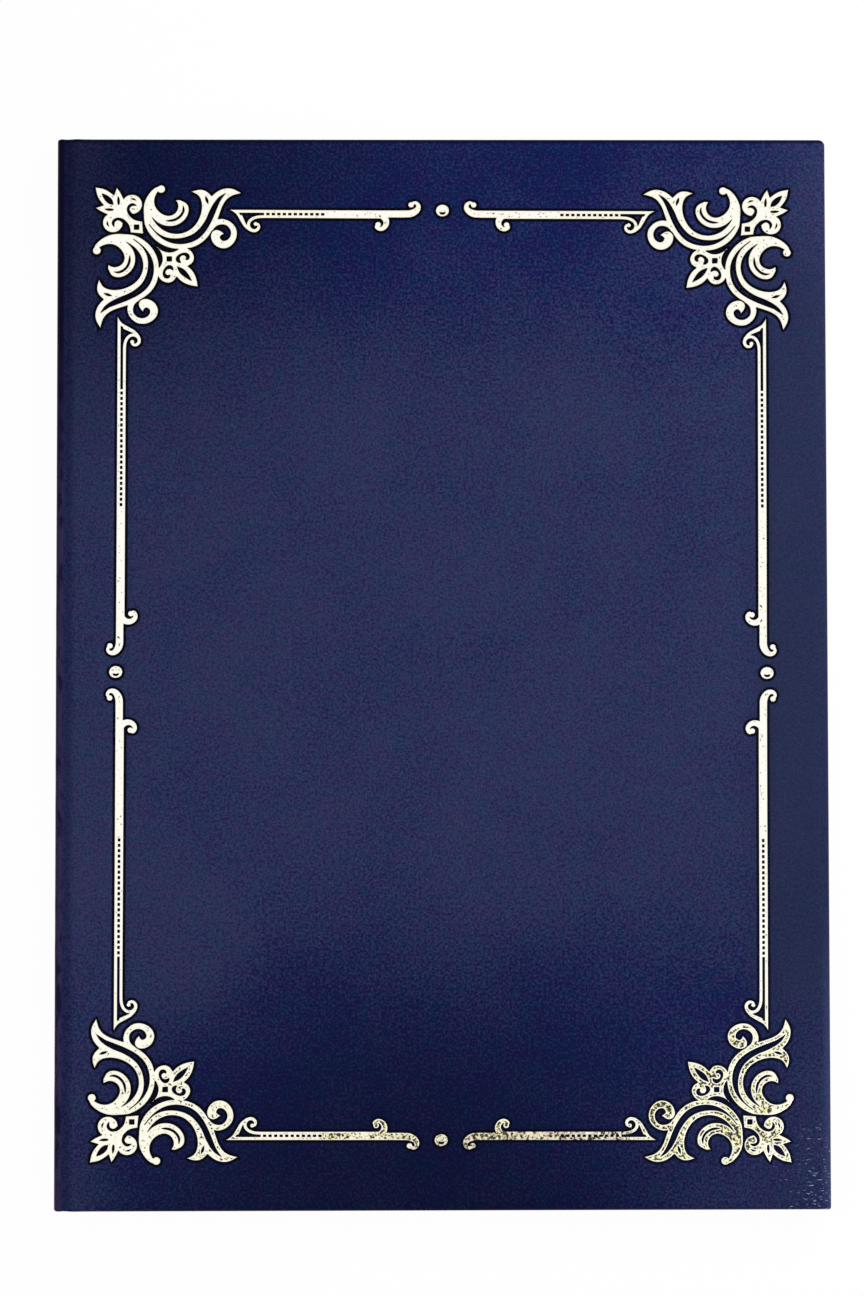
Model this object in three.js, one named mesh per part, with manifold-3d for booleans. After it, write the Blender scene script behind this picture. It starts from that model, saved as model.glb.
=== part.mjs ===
// Certificate holder: two leatherette-covered boards joined by a soft spine. The front board is lightly
// padded and carries a gold foil border of traditional scrollwork. Inside the back cover, four satin
// ribbons hold a certificate and a clear sheet by their corners.
//
// Millimetres. The holder lies closed on its back cover, with +X to the open edge, +Y to the head of
// the page and +Z up. The origin is the middle of its footprint.

import * as THREE from 'three';
import { mergeVertices } from 'three/addons/utils/BufferGeometryUtils.js';
import Module from 'manifold-3d';

const wasm = await Module();
wasm.setup();

// The certificate's clear sheet, and the closed holder that stands out round it
const SHEET_WIDTH = 210;
const SHEET_HEIGHT = 297;
const SHEET_MARGIN = 7.5;
const HOLDER_WIDTH = SHEET_WIDTH + 2 * SHEET_MARGIN;
const HOLDER_HEIGHT = SHEET_HEIGHT + 2 * SHEET_MARGIN;
const CORNER_RADIUS = 2;

// Thickness of each layer
const LEATHER = 0.5;
const BOARD = 2;
const PAD = 1.5;
const LINING = 0.4;
const STIFFENER = 0.6;
const SPINE_LINER = 0.3;
const CLEAR_SHEET = 0.2;
const RIBBON = 0.3;
const FOIL = 0.12;

// Room for the certificate between the two linings, and the clearance between loose neighbours
const PAPER_GAP = 1;
const CLEARANCE = 0.3;

// Free edges of the covers: the padded front slopes down before it rounds over, while the back's
// leatherette turns round the sharp edge of its board
const FRONT_EDGE_RADIUS = 1.1;
const FRONT_SLOPE_WIDTH = 3.5;
const FRONT_SLOPE_DROP = 0.5;
const FOLD_BREAK = 0.3;
const TURN_IN = 14;
const BOARD_CORNER_CUT = 1.5;

// Spine joint: a roll rises from the spine to its crest, dips into a groove and climbs onto the cover
const ROLL_HEIGHT = 2.3;
const ROLL_CREST = 1.5;
const CREST_DEPTH = 0.3;
const GROOVE_CENTRE = 3.1;
const GROOVE_DEPTH = 1.3;
const COVER_START = 5.2;
const BOARD_START = 5.6;
const SPINE_END_INSET = 0.6;

// Linings and ribbons
const LINING_MARGIN = 6;
const LINING_START = 7;
const RIBBON_WIDTH = 16;
const RIBBON_FROM_CORNER = 38;

// Foil border: the stamp is set in from the cover's edges, a little stretched, a little turned and a
// little off the middle. Its curved motifs are drawn on a grid of this unit.
const DRAWING_UNIT = 1;
const STAMP_INSET_X = 11.17;
const STAMP_INSET_Y = 14.48;
const STAMP_OFF_X = -0.16;
const STAMP_OFF_Y = -0.33;
const STAMP_STRETCH = 1.032;
const STAMP_TURN = THREE.MathUtils.degToRad(-0.15);

// Straight bars of the border
const BAR_START = 38;
const BAR_INSET = 6.5;
const BAR_THICKNESS = 2.4;
const BAR_END_THICKNESS = 2.1;
const BAR_TIP_LENGTH = 9;
const BAR_CURL_START = 4.5;
const SIDE_CURL_START = 9.6;
const SLIT_FROM_EDGE = 0.88;
const SLIT_WIDTH = 0.68;
const SQUARE_LENGTH = 0.88;
const SQUARE_PITCH = 1.55;
const ACROSS = { toMiddle: 6.1, slit: 9.7, solid: 26.2 };
const DOWN = { toMiddle: 4.8, slit: 21.2, solid: 42.3 };
const DOT_INSET = 6.5;

// Steps on each stretch between two points of a curve, on a full circle and on a round corner, and how
// far a drawn line may stray from its curve once points that it doesn't need are left out
const CURVE_STEPS = 6;
const CIRCLE_STEPS = 48;
const CORNER_STEPS = 5;
const LINE_TOLERANCE = 0.08;

// How far a cutting solid reaches past the piece that it cuts
const OVERCUT = 1;

// Levels and edges that follow from the sizes above
const BACK_LEVELS = LEATHER + BOARD + LEATHER + LINING;
const FRONT_LEVELS = LEATHER + PAD + BOARD + LEATHER + LINING;
const THICKNESS = BACK_LEVELS + PAPER_GAP + FRONT_LEVELS;
const SPINE_FACE = -HOLDER_WIDTH / 2;
const OPEN_EDGE = HOLDER_WIDTH / 2;
const HEAD = HOLDER_HEIGHT / 2;
const ROLL_DEPTH = CREST_DEPTH + ROLL_HEIGHT;

// A cover's levels are depths under its outer face, which is the top of the front and the foot of the back
const FRONT = {
  outerFace: THICKNESS,
  inward: -1,
  pad: PAD,
  edgeRadius: FRONT_EDGE_RADIUS,
  slopeWidth: FRONT_SLOPE_WIDTH,
  slopeDrop: FRONT_SLOPE_DROP,
};
const BACK = {
  outerFace: 0,
  inward: 1,
  pad: 0,
  edgeRadius: LEATHER,
  slopeWidth: 0,
  slopeDrop: 0,
};

function level(cover, depth) {
  return cover.outerFace + cover.inward * depth;
}

// Solids and meshes

function solidOf(geometry) {
  const bare = geometry.index ? geometry.toNonIndexed() : geometry.clone();
  bare.deleteAttribute('normal');
  bare.deleteAttribute('uv');
  const merged = mergeVertices(bare, 1e-5);
  return new wasm.Manifold(new wasm.Mesh({
    numProp: 3,
    vertProperties: new Float32Array(merged.attributes.position.array),
    triVerts: new Uint32Array(merged.index.array),
  }));
}

function geometryOf(solid) {
  const { vertProperties, triVerts } = solid.getMesh();
  const geometry = new THREE.BufferGeometry();
  geometry.setAttribute('position', new THREE.BufferAttribute(vertProperties, 3));
  geometry.setIndex(new THREE.BufferAttribute(triVerts, 1));
  geometry.computeVertexNormals();
  return geometry;
}

function join(solids) {
  return solids.reduce((whole, piece) => whole.add(piece));
}

// A flat shape raised from one level to another
function raised(shape, fromZ, toZ) {
  const geometry = new THREE.ExtrudeGeometry(shape, { depth: Math.abs(toZ - fromZ), bevelEnabled: false });
  return geometry.translate(0, 0, Math.min(fromZ, toZ));
}

function rectangle(x0, y0, x1, y1) {
  const corners = [[x0, y0], [x1, y0], [x1, y1], [x0, y1]];
  return new THREE.Shape(corners.map(([x, y]) => new THREE.Vector2(x, y)));
}

// A profile in X and Z carried along Y over the height of the spine
function alongSpine(shape) {
  const length = HOLDER_HEIGHT - 2 * SPINE_END_INSET;
  const geometry = new THREE.ExtrudeGeometry(shape, { depth: length, bevelEnabled: false });
  return geometry.rotateX(Math.PI / 2).translate(0, length / 2, 0);
}

// Cover shells

// One level of a cover: straight on the spine side, round at the two free corners
function coverRing(start, inset, z) {
  const right = OPEN_EDGE - inset;
  const head = HEAD - inset;
  const radius = Math.max(CORNER_RADIUS - inset, 0.4);
  const points = [[start, -head, z]];
  for (const side of [-1, 1]) {
    for (let step = 0; step <= CORNER_STEPS; step += 1) {
      const share = step / CORNER_STEPS;
      const angle = side < 0 ? (share - 1) * Math.PI / 2 : share * Math.PI / 2;
      const x = right - radius + radius * Math.cos(angle);
      const y = side * (head - radius) + radius * Math.sin(angle);
      points.push([x, y, z]);
    }
  }
  points.push([start, head, z]);
  return points;
}

// A closed skin over rings of equal length, from the lowest to the highest
function loft(rings) {
  const count = rings[0].length;
  const faces = [];
  for (let ring = 0; ring < rings.length - 1; ring += 1) {
    for (let i = 0; i < count; i += 1) {
      const a = ring * count + i;
      const b = ring * count + (i + 1) % count;
      faces.push(a, b, b + count, a, b + count, a + count);
    }
  }
  const top = (rings.length - 1) * count;
  for (let i = 1; i < count - 1; i += 1) {
    faces.push(0, i + 1, i);
    faces.push(top, top + i, top + i + 1);
  }
  const geometry = new THREE.BufferGeometry();
  geometry.setAttribute('position', new THREE.Float32BufferAttribute(rings.flat(2), 3));
  geometry.setIndex(faces);
  return geometry;
}

// A slab of a cover, from pairs of inset and depth that run inward from the outer face
function coverSlab(cover, start, profile) {
  const rings = profile.map(([inset, depth]) => coverRing(start, inset, level(cover, depth)));
  return solidOf(loft(cover.inward < 0 ? rings.reverse() : rings));
}

// The outer face's way to the edge: the soft slope, then a quarter round
function edgeProfile(cover, shrink) {
  const { edgeRadius, slopeWidth, slopeDrop } = cover;
  const radius = edgeRadius - shrink;
  const steps = radius > 0 ? CORNER_STEPS : 0;
  const profile = [];
  if (slopeWidth > 0) {
    profile.push([shrink + radius + slopeWidth, shrink]);
    profile.push([shrink + radius + slopeWidth / 2, shrink + slopeDrop / 3]);
  }
  for (let step = 0; step <= steps; step += 1) {
    const angle = step / CORNER_STEPS * Math.PI / 2;
    const inset = shrink + radius - radius * Math.sin(angle);
    const depth = shrink + slopeDrop + radius - radius * Math.cos(angle);
    profile.push([inset, depth]);
  }
  return profile;
}

function boardDepth(cover) {
  return LEATHER + cover.pad;
}

function foldedDepth(cover) {
  return boardDepth(cover) + BOARD + LEATHER;
}

// The spine joint's outer line, as x from the spine's face and depth under the cover
const GROOVE_LINE = new THREE.SplineCurve([
  new THREE.Vector2(ROLL_CREST, CREST_DEPTH),
  new THREE.Vector2((ROLL_CREST + GROOVE_CENTRE) / 2, (CREST_DEPTH + GROOVE_DEPTH) / 2),
  new THREE.Vector2(GROOVE_CENTRE, GROOVE_DEPTH),
  new THREE.Vector2((GROOVE_CENTRE + COVER_START) / 2, GROOVE_DEPTH / 2),
  new THREE.Vector2(COVER_START, 0),
]);

// A band of leatherette under an outer line, with ends cut square to the axes
function bandUnder(cover, line, steps) {
  const outer = line.getPoints(steps);
  const inner = outer.map((point, index) => {
    const along = line.getTangent(index / steps);
    const square = Math.abs(along.x) > Math.abs(along.y) ? [0, 1] : [1, 0];
    const atEnd = index === 0 || index === steps;
    const [x, y] = atEnd ? square : [-along.y, along.x];
    return new THREE.Vector2(point.x + LEATHER * x, point.y + LEATHER * y);
  });
  const around = [...outer, ...inner.reverse()];
  return new THREE.Shape(around.map(({ x, y }) => new THREE.Vector2(SPINE_FACE + x, level(cover, y))));
}

// Leatherette of one cover: the outer sheet, its turned-in edges and the groove beside the spine
function coverLeather(cover) {
  const folded = foldedDepth(cover);
  const start = SPINE_FACE + COVER_START;
  const past = start - OVERCUT;
  const outerProfile = [...edgeProfile(cover, 0), [0, folded - FOLD_BREAK], [FOLD_BREAK, folded]];
  const outer = coverSlab(cover, start, outerProfile);
  const insideProfile = [...edgeProfile(cover, LEATHER), [LEATHER, folded - LEATHER]];
  const inside = coverSlab(cover, past, insideProfile);
  const windowShape = rectangle(past, TURN_IN - HEAD, OPEN_EDGE - TURN_IN, HEAD - TURN_IN);
  const windowSides = [level(cover, folded - 2 * LEATHER), level(cover, folded + OVERCUT)];
  const window = solidOf(raised(windowShape, ...windowSides));
  const groove = solidOf(alongSpine(bandUnder(cover, GROOVE_LINE, 12)));
  return geometryOf(outer.subtract(inside.add(window)).add(groove));
}

// A board or pad: flat, square on the spine side, with its free corners cut off
function boardShape(inset) {
  const start = SPINE_FACE + BOARD_START;
  const right = OPEN_EDGE - inset;
  const head = HEAD - inset;
  const cut = BOARD_CORNER_CUT;
  const corners = [
    [start, -head], [right - cut, -head], [right, cut - head],
    [right, head - cut], [right - cut, head], [start, head],
  ];
  return new THREE.Shape(corners.map(([x, y]) => new THREE.Vector2(x, y)));
}

function coverBoard(cover) {
  const depth = boardDepth(cover);
  return raised(boardShape(LEATHER), level(cover, depth), level(cover, depth + BOARD));
}

function frontPad() {
  const slopeEnd = LEATHER + FRONT_EDGE_RADIUS + FRONT_SLOPE_WIDTH + CLEARANCE;
  const sideInset = LEATHER + FRONT_EDGE_RADIUS / 2 + CLEARANCE;
  const sideTop = LEATHER + FRONT_SLOPE_DROP + FRONT_EDGE_RADIUS / 2;
  const foot = boardDepth(FRONT);
  const profile = [[slopeEnd, LEATHER], [sideInset, sideTop + CLEARANCE], [sideInset, foot]];
  return geometryOf(coverSlab(FRONT, SPINE_FACE + BOARD_START, profile));
}

// Linings lie on the turned-in edges, and fill the space between them down to the board
function coverLining(cover) {
  const folded = foldedDepth(cover);
  const start = SPINE_FACE + LINING_START;
  const edge = { x: OPEN_EDGE - LINING_MARGIN, y: HEAD - LINING_MARGIN };
  const inner = { x: OPEN_EDGE - TURN_IN, y: HEAD - TURN_IN };
  const whole = rectangle(start, -edge.y, edge.x, edge.y);
  const sheet = raised(whole, level(cover, folded), level(cover, folded + LINING));
  const middle = rectangle(start, -inner.y, inner.x, inner.y);
  const filling = raised(middle, level(cover, folded - LEATHER), level(cover, folded + LINING));
  return geometryOf(solidOf(sheet).add(solidOf(filling)));
}

// Spine

function spineStrip(fromFace, thickness, endDepth) {
  const outerX = SPINE_FACE + fromFace;
  return alongSpine(rectangle(outerX, endDepth, outerX + thickness, THICKNESS - endDepth));
}

// The quarter roll that bends when the holder opens
function hingeRoll(cover) {
  const quarter = new THREE.EllipseCurve(
    ROLL_CREST, ROLL_DEPTH, ROLL_CREST, ROLL_HEIGHT, Math.PI, 1.5 * Math.PI, false);
  return alongSpine(bandUnder(cover, quarter, 8));
}

// Clear sheet and ribbons

const LINING_FACE = level(BACK, foldedDepth(BACK) + LINING);
const LINING_MIDDLE = (SPINE_FACE + LINING_START + OPEN_EDGE - LINING_MARGIN) / 2;

function clearSheet() {
  const half = { x: SHEET_WIDTH / 2, y: SHEET_HEIGHT / 2 };
  const shape = rectangle(LINING_MIDDLE - half.x, -half.y, LINING_MIDDLE + half.x, half.y);
  return raised(shape, LINING_FACE, LINING_FACE + CLEAR_SHEET);
}

// A ribbon crosses one corner of the lining and folds down over its two edges
function ribbonCorner(sideX, sideY) {
  const halfWidth = (OPEN_EDGE - LINING_MARGIN - SPINE_FACE - LINING_START) / 2;
  const corner = { x: LINING_MIDDLE + sideX * halfWidth, y: sideY * (HEAD - LINING_MARGIN) };
  const near = RIBBON_FROM_CORNER;
  const far = near + RIBBON_WIDTH * Math.SQRT2;
  const at = ([u, v]) => new THREE.Vector2(corner.x - sideX * u, corner.y - sideY * v);
  const underside = LINING_FACE + CLEAR_SHEET;
  const turned = LINING_FACE - LINING;
  const band = [
    [near, -RIBBON], [far, -RIBBON], [far, 0], [0, far],
    [-RIBBON, far], [-RIBBON, near], [0, near], [near, 0],
  ];
  const lips = [
    [[near, -RIBBON], [far, -RIBBON], [far, 0], [near, 0]],
    [[-RIBBON, near], [0, near], [0, far], [-RIBBON, far]],
  ];
  const layer = (outer, fromZ, toZ) => solidOf(raised(new THREE.Shape(outer.map(at)), fromZ, toZ));
  const top = layer(band, underside, underside + RIBBON);
  const folds = lips.map((lip) => layer(lip, turned, underside + RIBBON / 2));
  return geometryOf(join([top, ...folds]));
}

// Foil border
// The stamp has a frame of its own at each corner: u runs along the head from the outermost leaf tip and
// v runs down the side. The corner's motif is the same about the line u = v.

const HALF_STAMP = { x: HOLDER_WIDTH / 2 - STAMP_INSET_X, y: HOLDER_HEIGHT / 2 - STAMP_INSET_Y };

function stampPlace(sideX, sideY) {
  return ([u, v]) => {
    const x = sideX * (HALF_STAMP.x - STAMP_STRETCH * u);
    const y = sideY * (HALF_STAMP.y - v);
    const turned = new THREE.Vector2(x, y).rotateAround(new THREE.Vector2(), STAMP_TURN);
    return turned.add(new THREE.Vector2(STAMP_OFF_X, STAMP_OFF_Y));
  };
}

function swapped(place) {
  return ([u, v]) => place([v, u]);
}

// A place for a motif that is drawn in drawing units from a point of the stamp
function drawnAt(place, [u0, v0] = [0, 0]) {
  return ([u, v]) => place([u0 + DRAWING_UNIT * u, v0 + DRAWING_UNIT * v]);
}

// The points that a line needs to stay within the tolerance: the farthest one from the chord is kept,
// and the two halves are treated alike
function thinned(points) {
  const first = points[0];
  const last = points.at(-1);
  const chord = last.clone().sub(first);
  const off = ({ x, y }) => (chord.length() < 1e-6
    ? Math.hypot(x - first.x, y - first.y)
    : Math.abs(chord.x * (y - first.y) - chord.y * (x - first.x)) / chord.length());
  const distances = points.map(off);
  const farthest = distances.indexOf(Math.max(...distances));
  if (distances[farthest] < LINE_TOLERANCE || points.length < 3) {
    return [first, last];
  }
  return [...thinned(points.slice(0, farthest + 1)), ...thinned(points.slice(farthest)).slice(1)];
}

// A closed shape from points on its edge
function shapeAround(points) {
  return new THREE.Shape(thinned([...points, points[0]]).slice(0, -1));
}

// A closed outline: each run is a smooth curve from corner to corner, or one point for a straight side
function outline(start, ...runs) {
  return (place) => {
    const shape = new THREE.Shape();
    const first = place(start);
    shape.moveTo(first.x, first.y);
    for (const run of runs) {
      const points = run.map(place);
      if (points.length === 1) {
        shape.lineTo(points[0].x, points[0].y);
      } else {
        shape.splineThru(points);
      }
    }
    return shapeAround(shape.getPoints(CURVE_STEPS));
  };
}

function disc([u, v], radius) {
  return (place) => {
    const points = [];
    for (let step = 0; step < CIRCLE_STEPS; step += 1) {
      const angle = 2 * Math.PI * step / CIRCLE_STEPS;
      points.push(place([u + radius * Math.cos(angle), v + radius * Math.sin(angle)]));
    }
    return shapeAround(points);
  };
}

function block(u0, v0, u1, v1) {
  return outline([u0, v0], [[u1, v0]], [[u1, v1]], [[u0, v1]]);
}

// A brush stroke: a smooth line through points [u, v, width], where width 0 is a pointed end
function stroke(...points) {
  const line = new THREE.CatmullRomCurve3(points.map(([u, v, width]) => new THREE.Vector3(u, v, width / 2)));
  const steps = CURVE_STEPS * (points.length - 1);
  const right = [];
  const left = [];
  for (let step = 0; step <= steps; step += 1) {
    const share = step / steps;
    const { x, y, z: half } = line.getPoint(share);
    const along = line.getTangent(share).setZ(0).normalize();
    const reach = Math.max(half, 0.02);
    right.push([x + reach * along.y, y - reach * along.x]);
    left.push([x - reach * along.y, y + reach * along.x]);
  }
  const around = [...right, ...left.reverse()];
  return (place) => shapeAround(around.map(place));
}

const CORNER_PALMETTE = [
  outline([0, 0],
    [[2.5, 0.55], [4.2, 1.5], [5.3, 2.4]],
    [[5.6, 1.4], [6.05, 0.1]],
    [[6.8, 1.1], [7.5, 2.6], [8.2, 3.8]],
    [[9, 5.4]],
    [[9, 6.9], [9.8, 8.5], [11.3, 9.6], [13.3, 10.05]],
    [[13.6, 13.6]],
    [[6, 6.6]]),
  disc([10.4, 5], 2.85),
];
const CORNER_PALMETTE_CUTS = [
  outline([1.85, 1.85],
    [[3.4, 2.5], [4.7, 3.7], [5.1, 5.1]],
    [[3.7, 4.7], [2.5, 3.4], [1.85, 1.85]]),
  stroke([6.4, 2.6, 0], [6.55, 3.8, 0.6], [6.6, 5.1, 0.2]),
  outline([11.7, 5.4],
    [[10.7, 4.75], [9.6, 5.1], [9, 6.2], [9.2, 7.6], [9.8, 8.5]],
    [[10.7, 7.95]],
    [[9.95, 7.2], [9.65, 6.4], [10, 5.7], [10.8, 5.35], [11.7, 5.4]]),
  stroke([9.9, 3.4, 0], [10.8, 3.45, 0.4], [11.6, 3.9, 0]),
  block(11, 11, 12.4, 12.4),
];

const CORNER_SCROLL = [
  disc([18.6, 0.5], 1.15),
  outline([18.4, -0.6],
    [[16.6, 0.3], [15, 2.1], [13.9, 4.5], [13.65, 7], [13.9, 10.4]],
    [[16, 8.75]],
    [[17.5, 10.2], [19.2, 11.1], [21, 11.4], [23, 11.1], [24.9, 9.9], [26.1, 8.2], [26.45, 6.4], [25.9, 4.8],
      [23.9, 3.65]],
    [[22.75, 3.75]],
    [[23.35, 5], [23.3, 6.3], [22.5, 7.6], [21, 8.3], [19.2, 7.9], [17.6, 6.6], [16.75, 4.8], [16.9, 2.8],
      [17.9, 0.9]]),
  outline([13.7, 8.5],
    [[16, 8.75]],
    [[17.2, 10.6], [18.7, 12.1], [20.6, 13.15], [23, 13.6], [25.5, 13.1], [27.6, 11.7], [29.1, 9.6],
      [29.9, 7.4], [30.1, 5.2], [29.7, 3.3], [28.8, 2.1], [27.1, 1.2]],
    [[28.6, 0.75], [30, 0.6], [31.4, 1.1], [32.9, 2.5]],
    [[34.1, 1.4], [35.7, 0.5], [37.6, 0.15], [39.3, 0.5], [41.3, 1.6]],
    [[38.9, 2.3], [37.3, 3.4], [36.2, 5], [35.3, 7.2], [34.6, 9.4]],
    [[33.4, 12.1]],
    [[32.2, 14], [30.3, 16.1], [27.5, 17.6], [24, 18.1], [21, 17.7], [18.5, 16.6], [16.4, 14.9],
      [14.9, 12.9], [13.9, 10.6], [13.7, 8.5]]),
  outline([32.6, 12.6],
    [[34, 10.6]],
    [[34.6, 9.3]],
    [[36.2, 9.2], [38.2, 10], [39.7, 11.7], [40.1, 13.7], [39.5, 15.8], [38, 17.4], [36.1, 17.9],
      [34.2, 17.2], [33, 15.7], [32.7, 14.1], [33.2, 12.9], [34.3, 12.4], [35.5, 12.8], [36.5, 13.6]],
    [[35.8, 13.9], [35.3, 14.6], [36.1, 15.6], [37.5, 15.2], [38.3, 13.9], [38.1, 12.3], [37, 11.1],
      [35.6, 10.9], [34.2, 11.4], [33.2, 12.6]]),
  outline([17.4, 17.4],
    [[18.8, 18.45], [20.3, 19], [21.8, 19], [23.2, 18.4], [24.2, 17.6]],
    [[26, 17.8]],
    [[27.2, 18.7], [28, 20.4], [27.6, 22], [26.2, 23.1]],
    [[27.6, 24.5], [28.6, 26.5], [29.1, 29.1]],
    [[20, 20.6]]),
];
const CORNER_SCROLL_CUTS = [
  stroke([19.9, 9.85, 0], [21.6, 9.75, 0.5], [23.2, 9.15, 0.55], [24.4, 8, 0.55], [24.95, 6.7, 0.5],
    [24.8, 5.3, 0]),
  outline([15.3, 10.9],
    [[16.5, 12.35], [18, 13.7], [20.2, 14.75], [22.8, 15.05], [25.5, 14.65], [28, 13.5], [30, 11.5],
      [31.3, 9.4], [32.3, 7], [33.4, 4.9], [34.8, 3], [36.9, 1.6]],
    [[35.6, 3.4], [34.6, 5.4], [33.6, 7.9], [32.6, 10.4], [31.2, 12.8], [29.4, 14.8], [27, 16.1],
      [24.1, 16.6], [21.4, 16.2], [19, 15], [17, 13.2], [15.3, 10.9]]),
  stroke([31.1, 2.5, 0], [31.5, 3.6, 0.65], [31.9, 4.9, 0]),
  outline([24.3, 22.15],
    [[23.3, 21.9], [22.85, 21], [23.6, 19.85], [25.2, 19.2], [26.4, 19.6], [26.7, 20.5], [26.3, 21.2],
      [25.6, 21.2]],
    [[25.8, 20.5], [25.1, 19.85], [24.2, 20.2], [23.9, 21], [24.3, 22.15]]),
  outline([23.2, 23.2],
    [[25, 24], [26.4, 25.6], [27.35, 27.35]],
    [[25.6, 26.4], [24, 25], [23.2, 23.2]]),
  block(20.3, 20.3, 21.7, 21.7),
];

// A straight bar has a pointed tip, drawn from its point, and two curls at its other end, drawn from that
const BAR_TIP = [
  outline([0, 0],
    [[1.7, 1.1], [2.8, 2.9], [4.2, 5.1], [5.9, 6.4]],
    [[6.2, 5.6]],
    [[4.8, 4.4], [3.9, 2.7], [3, 0.7]]),
  stroke([9.4, 1.97, 0.85], [7.8, 2.12, 0.85], [6.4, 2.65, 0.85], [5.5, 3.6, 0.85], [5.35, 4.8, 0.9],
    [6.1, 5.9, 0.95], [7.3, 6.1, 0.9], [8.2, 5.3, 0.85], [8.05, 4.3, 0.75], [7.3, 4.05, 0.6]),
  disc([7.35, 4.15], 0.58),
];
const BAR_END = [
  stroke([-11, 1.4, 2], [-10, 2.6, 1.8], [-9.8, 3.9, 1.6], [-10.4, 5, 1.4], [-11.5, 5.5, 1.2],
    [-12.5, 4.9, 1.1], [-12.2, 4.2, 1]),
  disc([-12.1, 4.2], 0.8),
  stroke([-5, 1.05, 2.1], [-3, 0.95, 2.1], [-1.4, 0.2, 1.8], [-0.7, -0.9, 1.4], [-0.9, -1.8, 1.1],
    [-1.7, -2.3, 0.9], [-2.6, -1.9, 0.9]),
  disc([-2.75, -1.65], 0.8),
];

// The bar's straight stretch, with s along it from the pointed tip and t inward from its outer line
function barLength(length) {
  const curl = length - BAR_CURL_START;
  const sideCurl = length - SIDE_CURL_START;
  return outline([0, 0],
    [[curl, 0]],
    [[curl, BAR_END_THICKNESS]],
    [[sideCurl, BAR_END_THICKNESS]],
    [[sideCurl, BAR_THICKNESS]],
    [[BAR_TIP_LENGTH, BAR_THICKNESS]],
    [[BAR_TIP_LENGTH, SLIT_FROM_EDGE]],
    [[2.5 * SLIT_FROM_EDGE, SLIT_FROM_EDGE]]);
}

// The slit behind the tip, and the row of small squares that carries it on
function barCuts(length, slit, solid) {
  const slitFar = SLIT_FROM_EDGE + SLIT_WIDTH;
  const slitStart = 3 * SLIT_FROM_EDGE;
  const cuts = [
    outline([slitStart, SLIT_FROM_EDGE],
      [[slit, SLIT_FROM_EDGE]],
      [[slit, slitFar]],
      [[slitStart + SLIT_WIDTH / 1.5, slitFar]]),
  ];
  const first = slit + (SQUARE_PITCH - SQUARE_LENGTH);
  const last = length - solid;
  for (let s = first; s + SQUARE_LENGTH <= last; s += SQUARE_PITCH) {
    cuts.push(block(s, SLIT_FROM_EDGE, s + SQUARE_LENGTH, slitFar));
  }
  return cuts;
}

const DOT = [
  outline([-1.9, 0.1],
    [[-1.45, -1.1], [-0.2, -1.75], [1, -1.5], [1.75, -0.7], [1.85, 0.5], [1.15, 1.45], [-0.2, 1.8],
      [-1.4, 1.25], [-1.9, 0.1]]),
];
const DOT_CUTS = [
  outline([-0.85, 0.45],
    [[-0.3, 0.6], [0.3, 0.6], [0.9, 0.4]],
    [[0.6, 1], [0, 1.15], [-0.55, 1], [-0.85, 0.45]]),
];

// Every drawing of a list at every one of some places
function drawAll(drawings, ...places) {
  return places.flatMap((place) => drawings.map((draw) => draw(place)));
}

// Foil of some flat shapes less some cuts, on the front cover
function foil(gold, cuts) {
  const solids = (shapes, fromZ, toZ) => shapes.map((shape) => solidOf(raised(shape, fromZ, toZ)));
  const stamped = join(solids(gold, THICKNESS, THICKNESS + FOIL));
  const removed = join(solids(cuts, THICKNESS - OVERCUT, THICKNESS + OVERCUT));
  return geometryOf(stamped.subtract(removed));
}

function cornerFoil(gold, cuts, sideX, sideY) {
  const place = drawnAt(stampPlace(sideX, sideY));
  const places = [place, swapped(place)];
  return foil(drawAll(gold, ...places), drawAll(cuts, ...places));
}

function barFoil({ slit, solid }, length, along) {
  const gold = [
    ...drawAll([barLength(length)], along),
    ...drawAll(BAR_TIP, drawnAt(along)),
    ...drawAll(BAR_END, drawnAt(along, [length, 0])),
  ];
  return foil(gold, drawAll(barCuts(length, slit, solid), along));
}

function acrossBar(sideX, sideY) {
  const corner = stampPlace(sideX, sideY);
  const length = HALF_STAMP.x / STAMP_STRETCH - BAR_START - ACROSS.toMiddle;
  return barFoil(ACROSS, length, ([s, t]) => corner([BAR_START + s, BAR_INSET + t]));
}

function downBar(sideX, sideY) {
  const corner = stampPlace(sideX, sideY);
  const length = HALF_STAMP.y - BAR_START - DOWN.toMiddle;
  return barFoil(DOWN, length, ([s, t]) => corner([BAR_INSET + t, BAR_START + s]));
}

// A dot stands upright in the middle of each side
function dotFoil(sideX, sideY) {
  const onSide = stampPlace(1, 1);
  const middle = [HALF_STAMP.x / STAMP_STRETCH, HALF_STAMP.y];
  const centre = [
    middle[0] - sideX * (middle[0] - DOT_INSET),
    middle[1] - sideY * (middle[1] - DOT_INSET),
  ];
  const upright = drawnAt(([u, v]) => onSide([2 * centre[0] - u, v]), centre);
  return foil(drawAll(DOT, upright), drawAll(DOT_CUTS, upright));
}

// Materials

function finish(color, roughness, metalness = 0) {
  return new THREE.MeshStandardMaterial({ color, roughness, metalness });
}

const LEATHERETTE = { color: 0x23284f, roughness: 0.5 };
const GREYBOARD = { color: 0x8f8a80, roughness: 0.95 };
const FOAM = { color: 0xe9e6dc, roughness: 1 };
const SATIN_PAPER = { color: 0x1e2447, roughness: 0.6 };
const SATIN_RIBBON = { color: 0x2a3163, roughness: 0.4 };
const CLEAR_FILM = { color: 0xf4f7f8, roughness: 0.1 };
const GOLD = { color: 0xe9d9a6, roughness: 0.3, metalness: 1 };

// Assembly

const holder = new THREE.Group();

function add(parent, name, geometry, { color, roughness, metalness }) {
  const mesh = new THREE.Mesh(geometry, finish(color, roughness, metalness));
  mesh.name = name;
  parent.add(mesh);
}

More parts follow.
